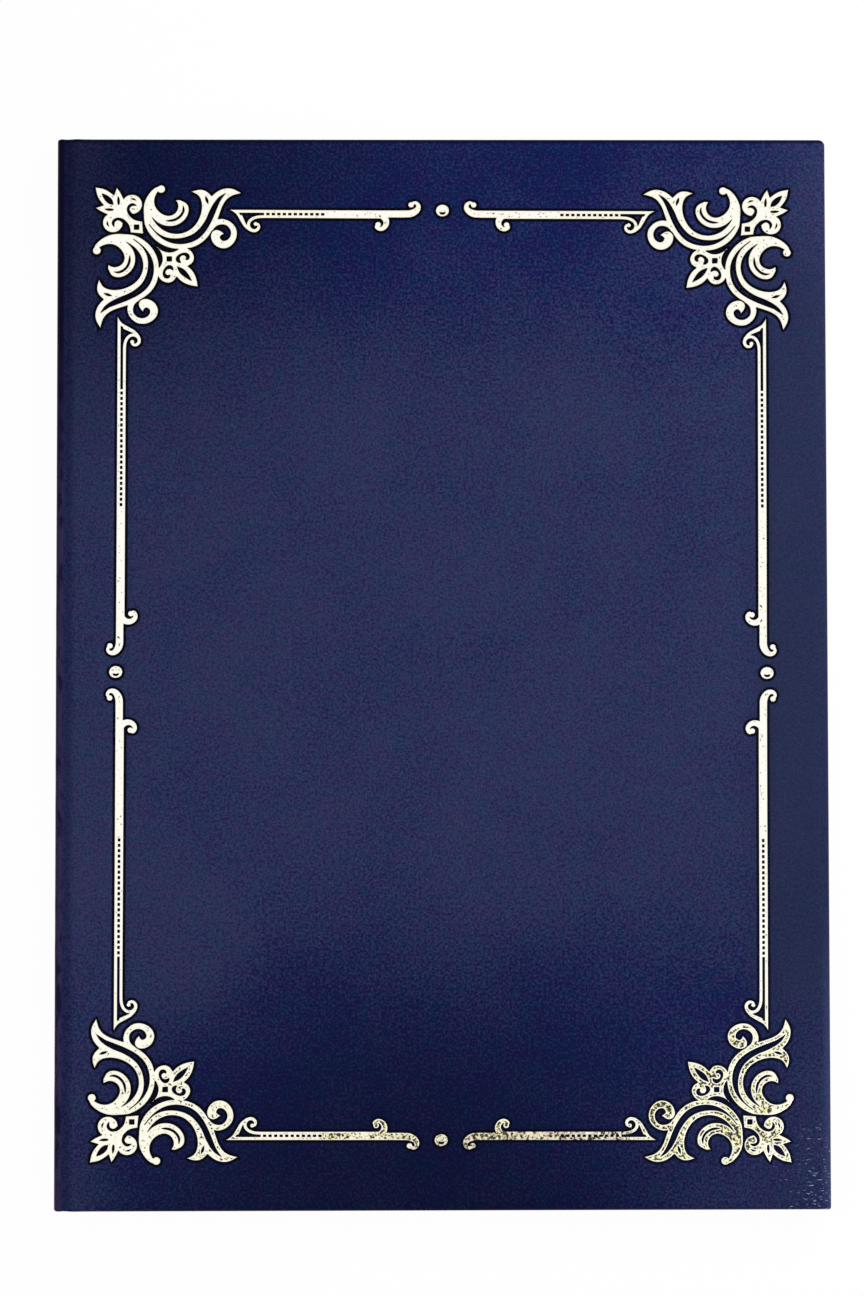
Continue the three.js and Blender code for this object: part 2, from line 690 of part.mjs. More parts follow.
const backCover = new THREE.Group();
add(backCover, 'back_leatherette', coverLeather(BACK), LEATHERETTE);
add(backCover, 'back_board', coverBoard(BACK), GREYBOARD);
add(backCover, 'back_lining', coverLining(BACK), SATIN_PAPER);
add(backCover, 'clear_sheet', clearSheet(), CLEAR_FILM);

const spine = new THREE.Group();
add(spine, 'spine_leatherette', spineStrip(0, LEATHER, ROLL_DEPTH), LEATHERETTE);
add(spine, 'spine_stiffener', spineStrip(LEATHER, STIFFENER, ROLL_DEPTH), GREYBOARD);
add(spine, 'spine_liner', spineStrip(LEATHER + STIFFENER, SPINE_LINER, ROLL_DEPTH), SATIN_PAPER);
add(spine, 'back_hinge_roll', hingeRoll(BACK), LEATHERETTE);
add(spine, 'front_hinge_roll', hingeRoll(FRONT), LEATHERETTE);

const frontCover = new THREE.Group();
add(frontCover, 'front_leatherette', coverLeather(FRONT), LEATHERETTE);
add(frontCover, 'front_pad', frontPad(), FOAM);
add(frontCover, 'front_board', coverBoard(FRONT), GREYBOARD);
add(frontCover, 'front_lining', coverLining(FRONT), SATIN_PAPER);

const SIDES_X = { left: -1, right: 1 };
const SIDES_Y = { head: 1, foot: -1 };
for (const [nameY, sideY] of Object.entries(SIDES_Y)) {
  for (const [nameX, sideX] of Object.entries(SIDES_X)) {
    const where = `${nameY}_${nameX}`;
    add(backCover, `ribbon_${where}`, ribbonCorner(sideX, sideY), SATIN_RIBBON);
    const palmette = cornerFoil(CORNER_PALMETTE, CORNER_PALMETTE_CUTS, sideX, sideY);
    const scroll = cornerFoil(CORNER_SCROLL, CORNER_SCROLL_CUTS, sideX, sideY);
    add(frontCover, `foil_palmette_${where}`, palmette, GOLD);
    add(frontCover, `foil_scroll_${where}`, scroll, GOLD);
    add(frontCover, `foil_bar_across_${where}`, acrossBar(sideX, sideY), GOLD);
    add(frontCover, `foil_bar_down_${where}`, downBar(sideX, sideY), GOLD);
  }
  add(frontCover, `foil_dot_${nameY}`, dotFoil(0, sideY), GOLD);
}
for (const [nameX, sideX] of Object.entries(SIDES_X)) {
  add(frontCover, `foil_dot_${nameX}`, dotFoil(sideX, 0), GOLD);
}

holder.add(backCover, spine, frontCover);

export default holder;
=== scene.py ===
# %% [markdown]
# # A certificate holder in navy leatherette and gold foil
# The real thing is a presentation cover. Two boards are wrapped in leatherette and joined by a soft spine,
# the front board is lightly padded, and a border of scrollwork is stamped on it in gold foil. The packed
# CAD model gives every part its place and never changes here. The soft skins are built afresh around it
# as thin surfaces, and each part gets a material worked out from nodes.

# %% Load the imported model
import math
from functools import partial

import bpy
import numpy as np
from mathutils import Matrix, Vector
from mathutils.geometry import delaunay_2d_cdt


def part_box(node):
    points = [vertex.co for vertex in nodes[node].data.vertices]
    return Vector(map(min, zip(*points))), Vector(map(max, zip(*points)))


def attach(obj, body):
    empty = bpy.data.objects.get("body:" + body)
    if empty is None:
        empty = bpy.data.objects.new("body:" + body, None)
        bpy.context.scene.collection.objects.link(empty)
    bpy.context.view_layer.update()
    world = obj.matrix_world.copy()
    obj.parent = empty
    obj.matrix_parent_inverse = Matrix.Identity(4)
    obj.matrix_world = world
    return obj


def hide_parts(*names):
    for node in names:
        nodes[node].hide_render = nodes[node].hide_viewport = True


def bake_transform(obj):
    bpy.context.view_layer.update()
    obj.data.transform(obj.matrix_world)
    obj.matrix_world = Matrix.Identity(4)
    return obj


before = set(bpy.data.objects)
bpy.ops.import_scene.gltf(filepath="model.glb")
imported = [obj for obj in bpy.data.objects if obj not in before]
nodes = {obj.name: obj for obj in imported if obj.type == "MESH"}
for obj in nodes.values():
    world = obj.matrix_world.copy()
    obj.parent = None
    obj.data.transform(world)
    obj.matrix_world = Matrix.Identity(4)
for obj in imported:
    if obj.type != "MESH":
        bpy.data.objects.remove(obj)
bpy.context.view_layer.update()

# %% [markdown]
# ## Sizes
# A learner might type every size again. It is safer to read the outer ones from the solids, and to name
# only what the soft skins need beyond them. Shapes are worked out in millimetres and turned into metres
# at the last moment. The skins' wall is a little thinner than the leatherette, so that its tight folds
# keep an inside.

# %% Sizes in millimetres
MM = 0.001


def box_mm(node):
    """Lowest and highest corner of a CAD node, in millimetres."""
    return [np.array(corner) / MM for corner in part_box(node)]


SPINE_FACE = box_mm("spine_leatherette")[0][0]
OPEN_EDGE, HEAD, TOP = box_mm("front_leatherette")[1]
WIDTH = OPEN_EDGE - SPINE_FACE
FRONT_DEPTH = TOP - box_mm("front_leatherette")[0][2]
BACK_DEPTH = box_mm("back_leatherette")[1][2]
LEATHER = 0.5
SKIN_WALL = 0.44
TURN_IN = 14.0
TINY = 1e-6
print(f"holder {WIDTH:.1f} x {2 * HEAD:.1f} x {TOP:.1f} mm")
print(f"covers {FRONT_DEPTH:.1f} and {BACK_DEPTH:.1f} mm deep")

# %% [markdown]
# ## Meshes from arrays
# Every surface here is a set of numpy arrays: a grid of points, or points with triangles between them.
# Blender could build such shapes by hand or with modifiers, but a formula keeps neighbouring pieces exactly
# in step. Each point also keeps its place in millimetres in an attribute, so that a grain or weave sticks
# to the skin when the holder opens.

# %% Grids, joints and pieces


def ease(share):
    """Smooth step from 0 to 1: half a cosine wave, level at both ends."""
    return (1 - np.cos(np.pi * np.clip(share, 0, 1))) / 2


def grid_faces(rows, columns):
    """Triangles over a grid of points: each cell a, b, c, d is split into a, b, c and a, c, d."""
    first = (np.arange(rows - 1)[:, None] * columns + np.arange(columns - 1)).ravel()
    a, b, c, d = first, first + 1, first + columns + 1, first + columns
    return np.vstack([np.stack([a, b, c], 1), np.stack([a, c, d], 1)])


def joined(patches):
    """Stacks patches of points, faces and field, merges equal points and drops collapsed faces."""
    points, faces, fields = zip(*patches)
    starts = np.cumsum([0] + [len(part) for part in points[:-1]])
    faces = np.vstack([part + start for part, start in zip(faces, starts)])
    points, field = np.vstack(points), np.concatenate(fields)
    _, first, number = np.unique(np.round(points, 4), axis=0, return_index=True, return_inverse=True)
    faces = number.reshape(-1)[faces]
    a, b, c = faces.T
    faces = faces[(a != b) & (b != c) & (c != a)]
    used, number = np.unique(faces, return_inverse=True)
    return points[first][used], number.reshape(-1, 3), field[first][used]


def turned(faces):
    """The same triangles with their other side out."""
    return faces[:, ::-1]


def border_edges(faces):
    """Start and end points of the edges that only one triangle has, in that triangle's direction."""
    start, end = np.vstack([faces[:, [0, 1]], faces[:, [1, 2]], faces[:, [2, 0]]]).T
    count = faces.max() + 1
    alone = ~np.isin(start * count + end, end * count + start)
    return start[alone], end[alone]


def scene_object(name, data):
    """An object of the scene that shows a mesh, a lamp or a camera."""
    made = bpy.data.objects.new(name, data)
    bpy.context.scene.collection.objects.link(made)
    return made


def mesh_object(name, points, faces, place=None, field=None):
    """A smooth mesh from points in millimetres, with its place and perhaps a field as attributes."""
    mesh = bpy.data.meshes.new(name)
    mesh.from_pydata((points * MM).tolist(), [], faces.tolist())
    mesh.shade_smooth()
    place = (points if place is None else place).astype(float).ravel()
    mesh.attributes.new("place", "FLOAT_VECTOR", "POINT").data.foreach_set("vector", place)
    if field is not None:
        mesh.attributes.new("field", "FLOAT", "POINT").data.foreach_set("value", field.astype(float))
    return scene_object(name, mesh)


def thicken(piece, thickness):
    """Gives a surface a wall of that many millimetres on its inner side."""
    wall = piece.modifiers.new("wall", "SOLIDIFY")
    wall.thickness = thickness * MM
    wall.offset = -1


# %% [markdown]
# ## Camera
# The photograph looks almost straight down on the closed holder: it leans by one and a half degrees. Such
# a view can't tell the distance, so 60 cm is assumed, and the lens follows from it. The four corners of
# the cover then fix the camera's place and turn, so render and photograph can be laid over each other.

# %% Camera
CAMERA_PLACE = (-0.007647, -0.009527, 0.606996)
CAMERA_TURN = (1.5616, -0.4446, -0.0672)
LENS = 57.156

camera_data = bpy.data.cameras.new("camera")
camera_data.lens = LENS
camera_data.sensor_width = 36
camera = scene_object("camera", camera_data)
camera.location = CAMERA_PLACE
camera.rotation_euler = [math.radians(angle) for angle in CAMERA_TURN]
bpy.context.scene.camera = camera

# %% [markdown]
# ## The line of the cover
# Cut the holder across its spine and the skin shows one long line: straight up the middle of the spine,
# round a soft roll, down into the groove where the cover hinges, and out flat over the board. The inner
# side of the turned-in skin has a line of its own. Both run over the same parameter q, so a point between
# them is a plain mix, and front and back use the same two lines, one looking up and one looking down.

# %% Outer and inner line of a cover
CREST_X, CREST_DEPTH = 1.5, 0.22
ROLL_DEPTH = 2.6
GROOVE_X, GROOVE_DEPTH = 2.8, 0.55
COVER_X = 6.2
STRAIGHT = TOP / 2 - ROLL_DEPTH
ROLL_LENGTH = 3.05
FLAT_SHIFT = STRAIGHT + ROLL_LENGTH - CREST_X


def outer_line(q):
    """Distance, depth and turn of the outer skin: straight, quarter ellipse, cosine dip, flat."""
    turn = np.clip((q - STRAIGHT) / ROLL_LENGTH, 0, 1) * np.pi / 2
    along = np.where(q < STRAIGHT + ROLL_LENGTH, CREST_X * (1 - np.cos(turn)), q - FLAT_SHIFT)
    rise = TOP / 2 - np.clip(q, 0, STRAIGHT) - (ROLL_DEPTH - CREST_DEPTH) * np.sin(turn)
    dip = (GROOVE_DEPTH - CREST_DEPTH) * ease((along - CREST_X) / (GROOVE_X - CREST_X))
    climb = GROOVE_DEPTH * ease((along - GROOVE_X) / (COVER_X - GROOVE_X))
    return along, rise + dip - climb, turn


INNER_Q = [0, 2.05, 3.5, 5.1, 6.7, 8.6, 9.2, 9.8, 11.0]
INNER_X = [1.6, 1.6, 1.9, 2.3, 3.2, 4.8, 5.0, 5.6, 7.4]
INNER_FRONT = [4.65, 3.2, 2.2, 1.9, 2.35, 2.6, 3.9, 4.5, 4.5]
INNER_BACK = [4.65, 3.2, 2.2, 1.9, 2.25, 2.1, 2.7, 3.0, 3.0]


def inner_line(q, depths):
    """Distance and depth of the turned-in skin's inner face, through named points and then flat."""
    along = np.where(q > INNER_Q[-1], q - FLAT_SHIFT, np.interp(q, INNER_Q, INNER_X))
    return along, np.interp(q, INNER_Q, depths)


# %% [markdown]
# ## Swells and waves
# Padded leatherette is never quite flat. The face of the cover swells and sinks by a tenth of a
# millimetre over a hand's width, and the roll beside the spine is wavy in its lower two thirds, where it
# has been handled. Sums of a few sine waves are enough, and the foil can ask for the same height.

# %% Swell of the padded face and waves of the roll
SWELL_WAVES = [(0.05, 19, 27, 1.0), (0.04, 12, -17, 2.2), (0.025, 31, 8.5, 0.5)]
SWELL_INSET, SWELL_FADE = 5, 14
WAVE_LEAST, WAVE_MORE = 0.02, 0.075


def swell(x, y):
    """Height of the padded face over its level: three long sine waves that fade out at the edges."""
    waves = 0
    for height, over_x, over_y, start in SWELL_WAVES:
        waves = waves + height * np.sin(x / over_x + y / over_y + start)
    inset = np.minimum(np.minimum(x - SPINE_FACE, OPEN_EDGE - x), HEAD - np.abs(y))
    return waves * ease((inset - SWELL_INSET) / SWELL_FADE)


def roll_wave(q, y):
    """Outward push: short sine waves along the spine, strongest on the roll and below the middle."""
    waves = np.sin(y / 1.9) * np.sin(y / 13 + 1) + 0.7 * np.sin(y / 3.3 + 2) + 0.5 * np.sin(y / 7.1)
    reach = ease((q - 2.2) / 2) * ease((9.5 - q) / 3)
    strength = WAVE_LEAST + WAVE_MORE * ease((70 - y) / 60) * ease((HEAD - 6 - np.abs(y)) / 12)
    return waves * reach * strength


# %% [markdown]
# ## Outlines of the gold foil
# The foil border is traditional scrollwork. Its flat pieces are CAD nodes, so their outlines can be read
# from the frame. The solids keep few points, and a close look would show their corners. Each rim edge is
# therefore swept as a smooth cubic between its two points, unless a point is a true corner.

# %% Rim of a foil node
FOIL_NODES = sorted(name for name in nodes if name.startswith("foil_"))
OUTLINE_STEP = 0.4
CORNER_BULGE = 0.19


def rim_of(node):
    """Rim points of a flat node's upper face, and for each one the number of the next."""
    mesh = nodes[node].data
    points = np.array([vertex.co[:] for vertex in mesh.vertices]) / MM
    mesh.calc_loop_triangles()
    faces = np.array([triangle.vertices[:] for triangle in mesh.loop_triangles])
    top = faces[(points[faces][:, :, 2] > points[:, 2].max() - 0.01).all(1)]
    flat, number = np.unique(np.round(points[:, :2], 3), axis=0, return_inverse=True)
    start, end = border_edges(number.reshape(-1)[top])
    used, number = np.unique(start, return_inverse=True)
    after = np.empty(len(used), int)
    after[number] = np.searchsorted(used, end)
    return flat[used], after


def smooth_rim(points, after):
    """Points along cubics between rim points, broken at true corners, and the next one after each."""
    before = np.argsort(after)
    step = points[after] - points
    length = np.linalg.norm(step, axis=1)
    last, last_length = step[before], length[before]
    cross = last[:, 0] * step[:, 1] - last[:, 1] * step[:, 0]
    bulge = np.abs(cross) / 2 / np.maximum(np.linalg.norm(last + step, axis=1), TINY)
    corner = bulge > CORNER_BULGE
    heading = step / length[:, None] ** 2 + last / last_length[:, None] ** 2
    heading /= np.maximum(np.linalg.norm(heading, axis=1), TINY)[:, None]
    leaving = np.where(corner[:, None], step, heading * np.minimum(length, 2 * last_length)[:, None])
    arriving = np.where(corner[:, None], last, heading * np.minimum(last_length, 2 * length)[:, None])
    parts = np.maximum(np.ceil(length / OUTLINE_STEP).astype(int), 1)
    edge = np.repeat(np.arange(len(points)), parts)
    starts = np.cumsum(parts) - parts
    t = ((np.arange(len(edge)) - starts[edge]) / parts[edge])[:, None]
    p0, p1, m0, m1 = points[edge], points[after[edge]], leaving[edge], arriving[after[edge]]
    curve = (
        (2 * t**3 - 3 * t**2 + 1) * p0
        + (t**3 - 2 * t**2 + t) * m0
        + (3 * t**2 - 2 * t**3) * p1
        + (t**3 - t**2) * m1
    )
    following = np.arange(1, len(edge) + 1)
    following[starts + parts - 1] = starts[after]
    return curve, following


rims = {node: smooth_rim(*rim_of(node)) for node in FOIL_NODES}
print(len(rims), "foil outlines,", sum(len(points) for points, _ in rims.values()), "points")

# %% [markdown]
# ## Measuring to the outlines
# The leatherette is pressed down round the foil, and the foil has a thin rim of its own. Both need to know
# how far a point is from the nearest outline, and whether it lies inside. The first is a table of
# distances in arrays, and the second counts how many outline edges a line to the right crosses.

# %% Distance, inside and offset
LEAST_GAP = 0.85


def inside(points, rim, following):
    """Which points lie inside: a ray to the right crosses the outline an odd number of times."""
    (x0, y0), (x1, y1) = rim.T, rim[following].T
    crosses = (y0 > points[:, 1:]) != (y1 > points[:, 1:])
    rise = np.where(y1 == y0, 1, y1 - y0)
    at = x0 + (points[:, 1:] - y0) * (x1 - x0) / rise
    return (crosses & (points[:, :1] < at)).sum(1) % 2 == 1


def distance_to(points, rim, block=400):
    """Distance from each point to the nearest rim point, a block of points at a time."""
    parts = [points[start : start + block] for start in range(0, len(points), block)]
    return np.concatenate([np.sqrt(((part[:, None] - rim) ** 2).sum(2).min(1)) for part in parts])


def moved_rim(rim, following, amount):
    """Rim points moved square to the outline: to its inner side for a positive amount."""
    along = rim[following] - rim[np.argsort(following)]
    along /= np.maximum(np.linalg.norm(along, axis=1), TINY)[:, None]
    return rim + amount * np.stack([-along[:, 1], along[:, 0]], 1)


def offset_rim(rim, following, amount):
    """The moved rim, less the points that came too close to another stretch of the outline."""
    moved = moved_rim(rim, following, amount)
    return moved[distance_to(moved, rim) > LEAST_GAP * abs(amount)]


def triangulated(points, edges=()):
    """Delaunay triangles over flat points, with some edges kept. A given point keeps its exact place."""
    corners = [Vector(point) for point in points.tolist()]
    flat, _, faces, sources, *_ = delaunay_2d_cdt(corners, list(edges), [], 0, 1e-5, True)
    exact = [points[source[0]] if source else tuple(point) for point, source in zip(flat, sources)]
    return np.array(exact), np.array(faces)


# %% [markdown]
# ## Leatherette skins
# Each cover's skin is one sheet: over the face, round the edge, and turned in over the inner side of the
# board. It could be sculpted, but it is easier to trust as two patches that share their border points. The
# main patch is a loose net of points over the face, with extra rings round the foil where it is pressed
# down. The border patch carries the edge's section along the three free sides.

# %% Section of the free edge
SLOPE_WIDTH, SLOPE_DROP, EDGE_RUN = 3.5, 0.5, 1.1
HEM_DEPTH, HEM_RUN, HEM_END = 1.2, 0.45, 0.3
PATCH_INSET = 2.0
FOLD = 0.5
FLAP_INSETS = [1.0, 2.0, 4.0, 7.0, 10.5, TURN_IN]


def front_drop(inset):
    """Depth of the padded edge: a parabola that starts where the pad begins to thin."""
    reach = np.clip((SLOPE_WIDTH + EDGE_RUN - inset) / SLOPE_WIDTH, 0, None)
    return SLOPE_DROP * reach**2


def section(depth, drop, run, tilt=0.0, end=0.0):
    """Insets and depths over the edge: face, quarter round, side, fold and turned-in flap."""
    radius = run / (1 - math.sin(tilt))
    turn = np.linspace(tilt, np.pi / 2, 8)[1:]
    fold = np.linspace(0, np.pi / 2, 5)
    face = np.array([PATCH_INSET, (PATCH_INSET + run + end) / 2, run + end])
    over = end + radius * (1 - np.sin(turn)), drop(run) + radius * (math.cos(tilt) - np.cos(turn))
    side = np.linspace(over[1][-1], depth - FOLD, 4)[1:-1]
    insets = [face, over[0], np.full(2, end), end + FOLD * (1 - np.cos(fold)), FLAP_INSETS]
    flap = np.full(len(FLAP_INSETS), depth)
    depths = [drop(face), over[1], side, depth - FOLD * (1 - np.sin(fold)), flap]
    return np.concatenate(insets), np.concatenate(depths)


def no_drop(inset):
    """A face that stays flat right up to its edge."""
    return np.zeros_like(np.asarray(inset, float))


HEM = section(HEM_DEPTH, no_drop, HEM_RUN, end=HEM_END)
COVERS = {
    "front": {
        "depth": FRONT_DEPTH,
        "inner": INNER_FRONT,
        "level": lambda depth: TOP - depth,
        "drop": front_drop,
        "edge": section(FRONT_DEPTH, front_drop, EDGE_RUN, math.atan(2 * SLOPE_DROP / SLOPE_WIDTH)),
    },
    "back": {
        "depth": BACK_DEPTH,
        "inner": INNER_BACK,
        "level": lambda depth: depth,
        "drop": no_drop,
        "edge": section(BACK_DEPTH, no_drop, LEATHER),
    },
}

# %% Net of the face
JOINT_END, BOARD_FADE = 11.0, 2.2
FACE_END = WIDTH - PATCH_INSET + FLAT_SHIFT
FRONT_STEP, BACK_STEP = 4.0, 5.0
SPINE_STEP, ROLL_STEP, ALONG_STEP = 0.7, 0.36, 1.6
EDGE_STEPS = np.array([0, 0.45, 0.95, 1.5, 2.1, 2.8, 3.7, 5.0])


def spread(start, end, step):
    """Evenly spaced values from start to end, near a given step."""
    return np.linspace(start, end, int(round((end - start) / step)) + 1)


def edged(low, middle, high):
    """Values that start close together at the low end and end so at the high one."""
    return np.concatenate([low + EDGE_STEPS, middle, high - EDGE_STEPS[::-1]])


def face_grids(step):
    """Two grids of q and y: a fine one over the joint, and one over the face, fine at its edges."""
    limit, edge = HEAD - PATCH_INSET, EDGE_STEPS[-1]
    spine_q = spread(0, STRAIGHT, SPINE_STEP)[:-1]
    joint_q = np.concatenate([spine_q, spread(STRAIGHT, JOINT_END, ROLL_STEP)])
    face_q = spread(JOINT_END, FACE_END - edge, step)[1:-1]
    face_q = np.concatenate([face_q, FACE_END - EDGE_STEPS[::-1]])
    face_y = edged(-limit, spread(edge - limit, limit - edge, step)[1:-1], limit)
    return (joint_q, spread(-limit, limit, ALONG_STEP)), (face_q, face_y)


def board_share(q):
    """0 over the joint, 1 where the board carries the skin."""
    return ease((q - FLAT_SHIFT - COVER_X) / BOARD_FADE)


def skin_point(q, y, fraction, cover, push=0.0):
    """A point that lies a fraction of the way from the outer line to the inner one, pushed outwards."""
    u0, d0, turn = outer_line(q)
    u1, d1 = inner_line(q, cover["inner"])
    u = u0 + fraction * (u1 - u0) - push * np.cos(turn)
    depth = d0 + fraction * (d1 - d0) - push * np.sin(turn)
    return np.stack(np.broadcast_arrays(SPINE_FACE + u, y, cover["level"](depth)), -1)


def face_fraction(q, y, cover):
    """How far the face sinks towards a free edge. Near a corner, the two insets join as 1/a^2 + 1/b^2."""
    a = np.maximum(FACE_END - q, TINY)
    b = np.maximum(HEAD - PATCH_INSET - np.abs(y), TINY)
    inset = PATCH_INSET + (a**-2 + b**-2) ** -0.5
    return cover["drop"](inset) / cover["depth"] * board_share(q)


# %% Pressed rings round the foil
PRESS, PRESS_LEVEL, PRESS_FALL, PRESS_REACH = 0.16, 0.56, 0.21, 1.2
RINGS = [-PRESS_LEVEL, -0.88]
RING_CELL = 0.5
UNPRESSED = 0.02


def thinned(points, cell):
    """One point from each square cell of a grid."""
    _, first = np.unique(np.floor(points / cell), axis=0, return_index=True)
    return points[np.sort(first)]


def pressed_rings():
    """Net points on and round every outline, as q and y. Each ring outside is thinned by itself."""
    found = [rim for rim, _ in rims.values()]
    for ring in RINGS:
        moved = [offset_rim(*outline, ring) for outline in rims.values()]
        found.append(thinned(np.vstack(moved), RING_CELL))
    return np.vstack(found) + [FLAT_SHIFT - SPINE_FACE, 0]


def press_field(q, y):
    """1 under and close round the foil, which presses the skin down, then falling to 0 as a bell."""
    flat = np.stack([q - FLAT_SHIFT + SPINE_FACE, y], 1)
    field = np.zeros(len(flat))
    for rim, following in rims.values():
        near = (flat > rim.min(0) - PRESS_REACH) & (flat < rim.max(0) + PRESS_REACH)
        near = np.flatnonzero(near.all(1))
        if len(near):
            gap = distance_to(flat[near], rim)
            bell = np.exp(-((np.clip(gap - PRESS_LEVEL, 0, None) / PRESS_FALL) ** 2))
            bell[inside(flat[near], rim, following)] = 1
            field[near] = np.maximum(field[near], bell)
    return field


def face_patch(cover, step, pressed):
    """Main patch: a Delaunay net over the grids and the pressed rings, lifted onto the cover's face."""
    grids = [np.stack(np.meshgrid(q, y), -1).reshape(-1, 2) for q, y in face_grids(step)]
    net = np.vstack(grids)
    if pressed:
        field = press_field(*net.T)
        net = np.vstack([net[field < UNPRESSED], pressed_rings()])
    net, faces = triangulated(net)
    q, y = net.T
    field = press_field(q, y) if pressed else np.zeros(len(q))
    push = roll_wave(q, y) + (swell(SPINE_FACE + q - FLAT_SHIFT, y) * board_share(q) if pressed else 0)
    points = skin_point(q, y, face_fraction(q, y, cover), cover, push - PRESS * field)
    return points, faces, field


# %% Border patch
HEAD_CORNER, FOOT_CORNER = 2.2, 7.0


def border_columns(step):
    """Where the edge's section stands: q, y, outward direction and kind, from the foot to the head.

    The kind is 0 along foot and head, 1 in a corner and 2 along the open edge.
    """
    (joint_q, _), (face_q, face_y) = face_grids(step)
    along = np.unique(np.concatenate([joint_q, face_q]))
    limit = HEAD - PATCH_INSET
    fan = np.linspace(0, np.pi / 2, 9)[1:-1]
    q = [along, np.full(len(fan), FACE_END), np.full(len(face_y), FACE_END)]
    y = [np.full(len(along), -limit), np.full(len(fan), -limit), face_y]
    way = [np.full(len(along), -np.pi / 2), fan - np.pi / 2, np.zeros(len(face_y))]
    kind = [np.zeros(len(along)), np.ones(len(fan)), np.full(len(face_y), 2)]
    q += [q[1], q[0][::-1]]
    y += [-y[1], -y[0]]
    way += [-way[1][::-1], -way[0]]
    kind += kind[1::-1]
    return [np.concatenate(part) for part in (q, y, way, kind)]


def border_patch(cover, step):
    """The edge's section along the free sides: a hem at the spine, a full board's edge beyond it."""
    q, y, way, kind = border_columns(step)
    board = board_share(q)
    power = np.where(y > 0, HEAD_CORNER, FOOT_CORNER)
    square = (np.abs(np.cos(way)) ** power + np.abs(np.sin(way)) ** power) ** (-1 / power)
    square = np.where(kind == 1, square, 1)
    u0, d0, _ = outer_line(q)
    u1, d1 = inner_line(q, cover["inner"])
    thickness = np.hypot(u1 - u0, d1 - d0)
    edge_inset, edge_depth = (part[:, None] for part in cover["edge"])
    hem_inset, hem_depth = (part[:, None] for part in HEM)
    low = hem_depth > HEM_DEPTH / 2
    below = np.where(low, hem_depth - HEM_DEPTH + thickness, np.minimum(hem_depth, thickness / 2))
    inset = board * edge_inset + (1 - board) * hem_inset
    fraction = board * edge_depth / cover["depth"] + (1 - board) * below / thickness
    out_x = (PATCH_INSET - inset) * np.cos(way) * square
    out_y = (PATCH_INSET - inset) * np.sin(way) * square
    flap = inset > PATCH_INSET
    mitre_x, mitre_y = WIDTH + FLAT_SHIFT - inset, HEAD - inset
    q = np.where(flap & (kind < 2), np.minimum(q, mitre_x), q)
    q = np.where(flap & (kind == 1), mitre_x, q)
    y = np.where(flap & (kind == 1), np.sign(y) * mitre_y, y + out_y)
    y = np.where(flap & (kind == 2), np.clip(y, -mitre_y, mitre_y), y)
    shift = np.where(flap & (kind == 1), 0, out_x)
    points = skin_point(q, y, fraction, cover, roll_wave(q, y) * (1 - fraction))
    points[..., 0] += shift
    faces = grid_faces(*inset.shape)
    return points.reshape(-1, 3), turned(faces), np.zeros(inset.size)


def cover_skin(name, side, step, pressed):
    """One cover's whole skin, face out, with its wall on the inside."""
    cover = COVERS[side]
    points, faces, field = joined([face_patch(cover, step, pressed), border_patch(cover, step)])
    skin = mesh_object(name, points, faces if side == "front" else turned(faces), field=field)
    thicken(skin, SKIN_WALL)
    print(name, len(points), "points,", len(faces), "triangles")
    return skin


front_skin = cover_skin("front_leather", "front", FRONT_STEP, True)
back_skin = cover_skin("back_leather", "back", BACK_STEP, False)
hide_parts("front_leatherette", "front_hinge_roll", "spine_leatherette")
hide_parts("back_leatherette", "back_hinge_roll")
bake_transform(front_skin)
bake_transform(back_skin)

# %% [markdown]
# ## Gold foil
# Hot foil is a thin plate with a soft rounded rim. A bevelled extrusion would spoil its sharp leaf tips,
# so each plate is a net over its smooth outline and over inner rings, triangulated once. The top, a skirt
# round the outline and a flat underside close it. A field of the distance from the rim goes with it, so
# that the material can keep the rim bright and paint a dim reflection into the middle.

# %% Foil plates
FOIL_INSETS = [0.14, 0.34, 0.6]
RIM_HEIGHT, PLATE_HEIGHT, FOOT_HEIGHT = 0.02, 0.05, -0.18
SHRINK_CORNER, SHRINK_BAR = 0.1, 0.045
SHARP_FROM = math.radians(50)


def foil_plate(node):
    """A closed plate: height rises from the rim to the plate as a quarter sine of the distance."""
    rim, following = rims[node]
    rim = moved_rim(rim, following, SHRINK_BAR if "bar" in node else SHRINK_CORNER)
    rings = [offset_rim(rim, following, inset) for inset in FOIL_INSETS]
    edges = np.stack([np.arange(len(rim)), following], 1).tolist()
    flat, faces = triangulated(np.vstack([rim, *rings]), edges)
    faces = faces[inside(flat[faces].mean(1), rim, following)]
    gap = distance_to(flat, rim)
    gap[: len(rim)] = 0
    share = np.clip(gap / FOIL_INSETS[0], 0, 1)
    rise = RIM_HEIGHT + (PLATE_HEIGHT - RIM_HEIGHT) * np.sin(np.pi / 2 * share)
    level = TOP + swell(*flat.T)
    top = np.column_stack([flat, level + rise])
    foot = np.column_stack([flat, level + FOOT_HEIGHT])
    count = len(flat)
    start, end = border_edges(faces)
    skirt = np.vstack([
        np.stack([end, start, start + count], 1),
        np.stack([end, start + count, end + count], 1),
    ])
    faces = np.vstack([faces, turned(faces) + count, skirt])
    points, faces, field = joined([(np.vstack([top, foot]), faces, np.concatenate([gap, gap * 0]))])
    plate = mesh_object(node.replace("foil", "gold"), points, faces, field=field)
    plate.data.set_sharp_from_angle(angle=SHARP_FROM)
    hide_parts(node)
    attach(plate, "front_cover")
    return plate


gold = [foil_plate(node) for node in FOIL_NODES]
print(len(gold), "gold plates,", sum(len(plate.data.polygons) for plate in gold), "triangles")

# %% [markdown]
# ## Padding under the front skin
# A thin sheet of foam lies between the front board and its skin. Nobody sees it, but it is a part of its
# own. It is two surfaces over one grid: a flat underside, and a top that rises from the rim as a quarter
# round and levels out, so the two share their rim and close.

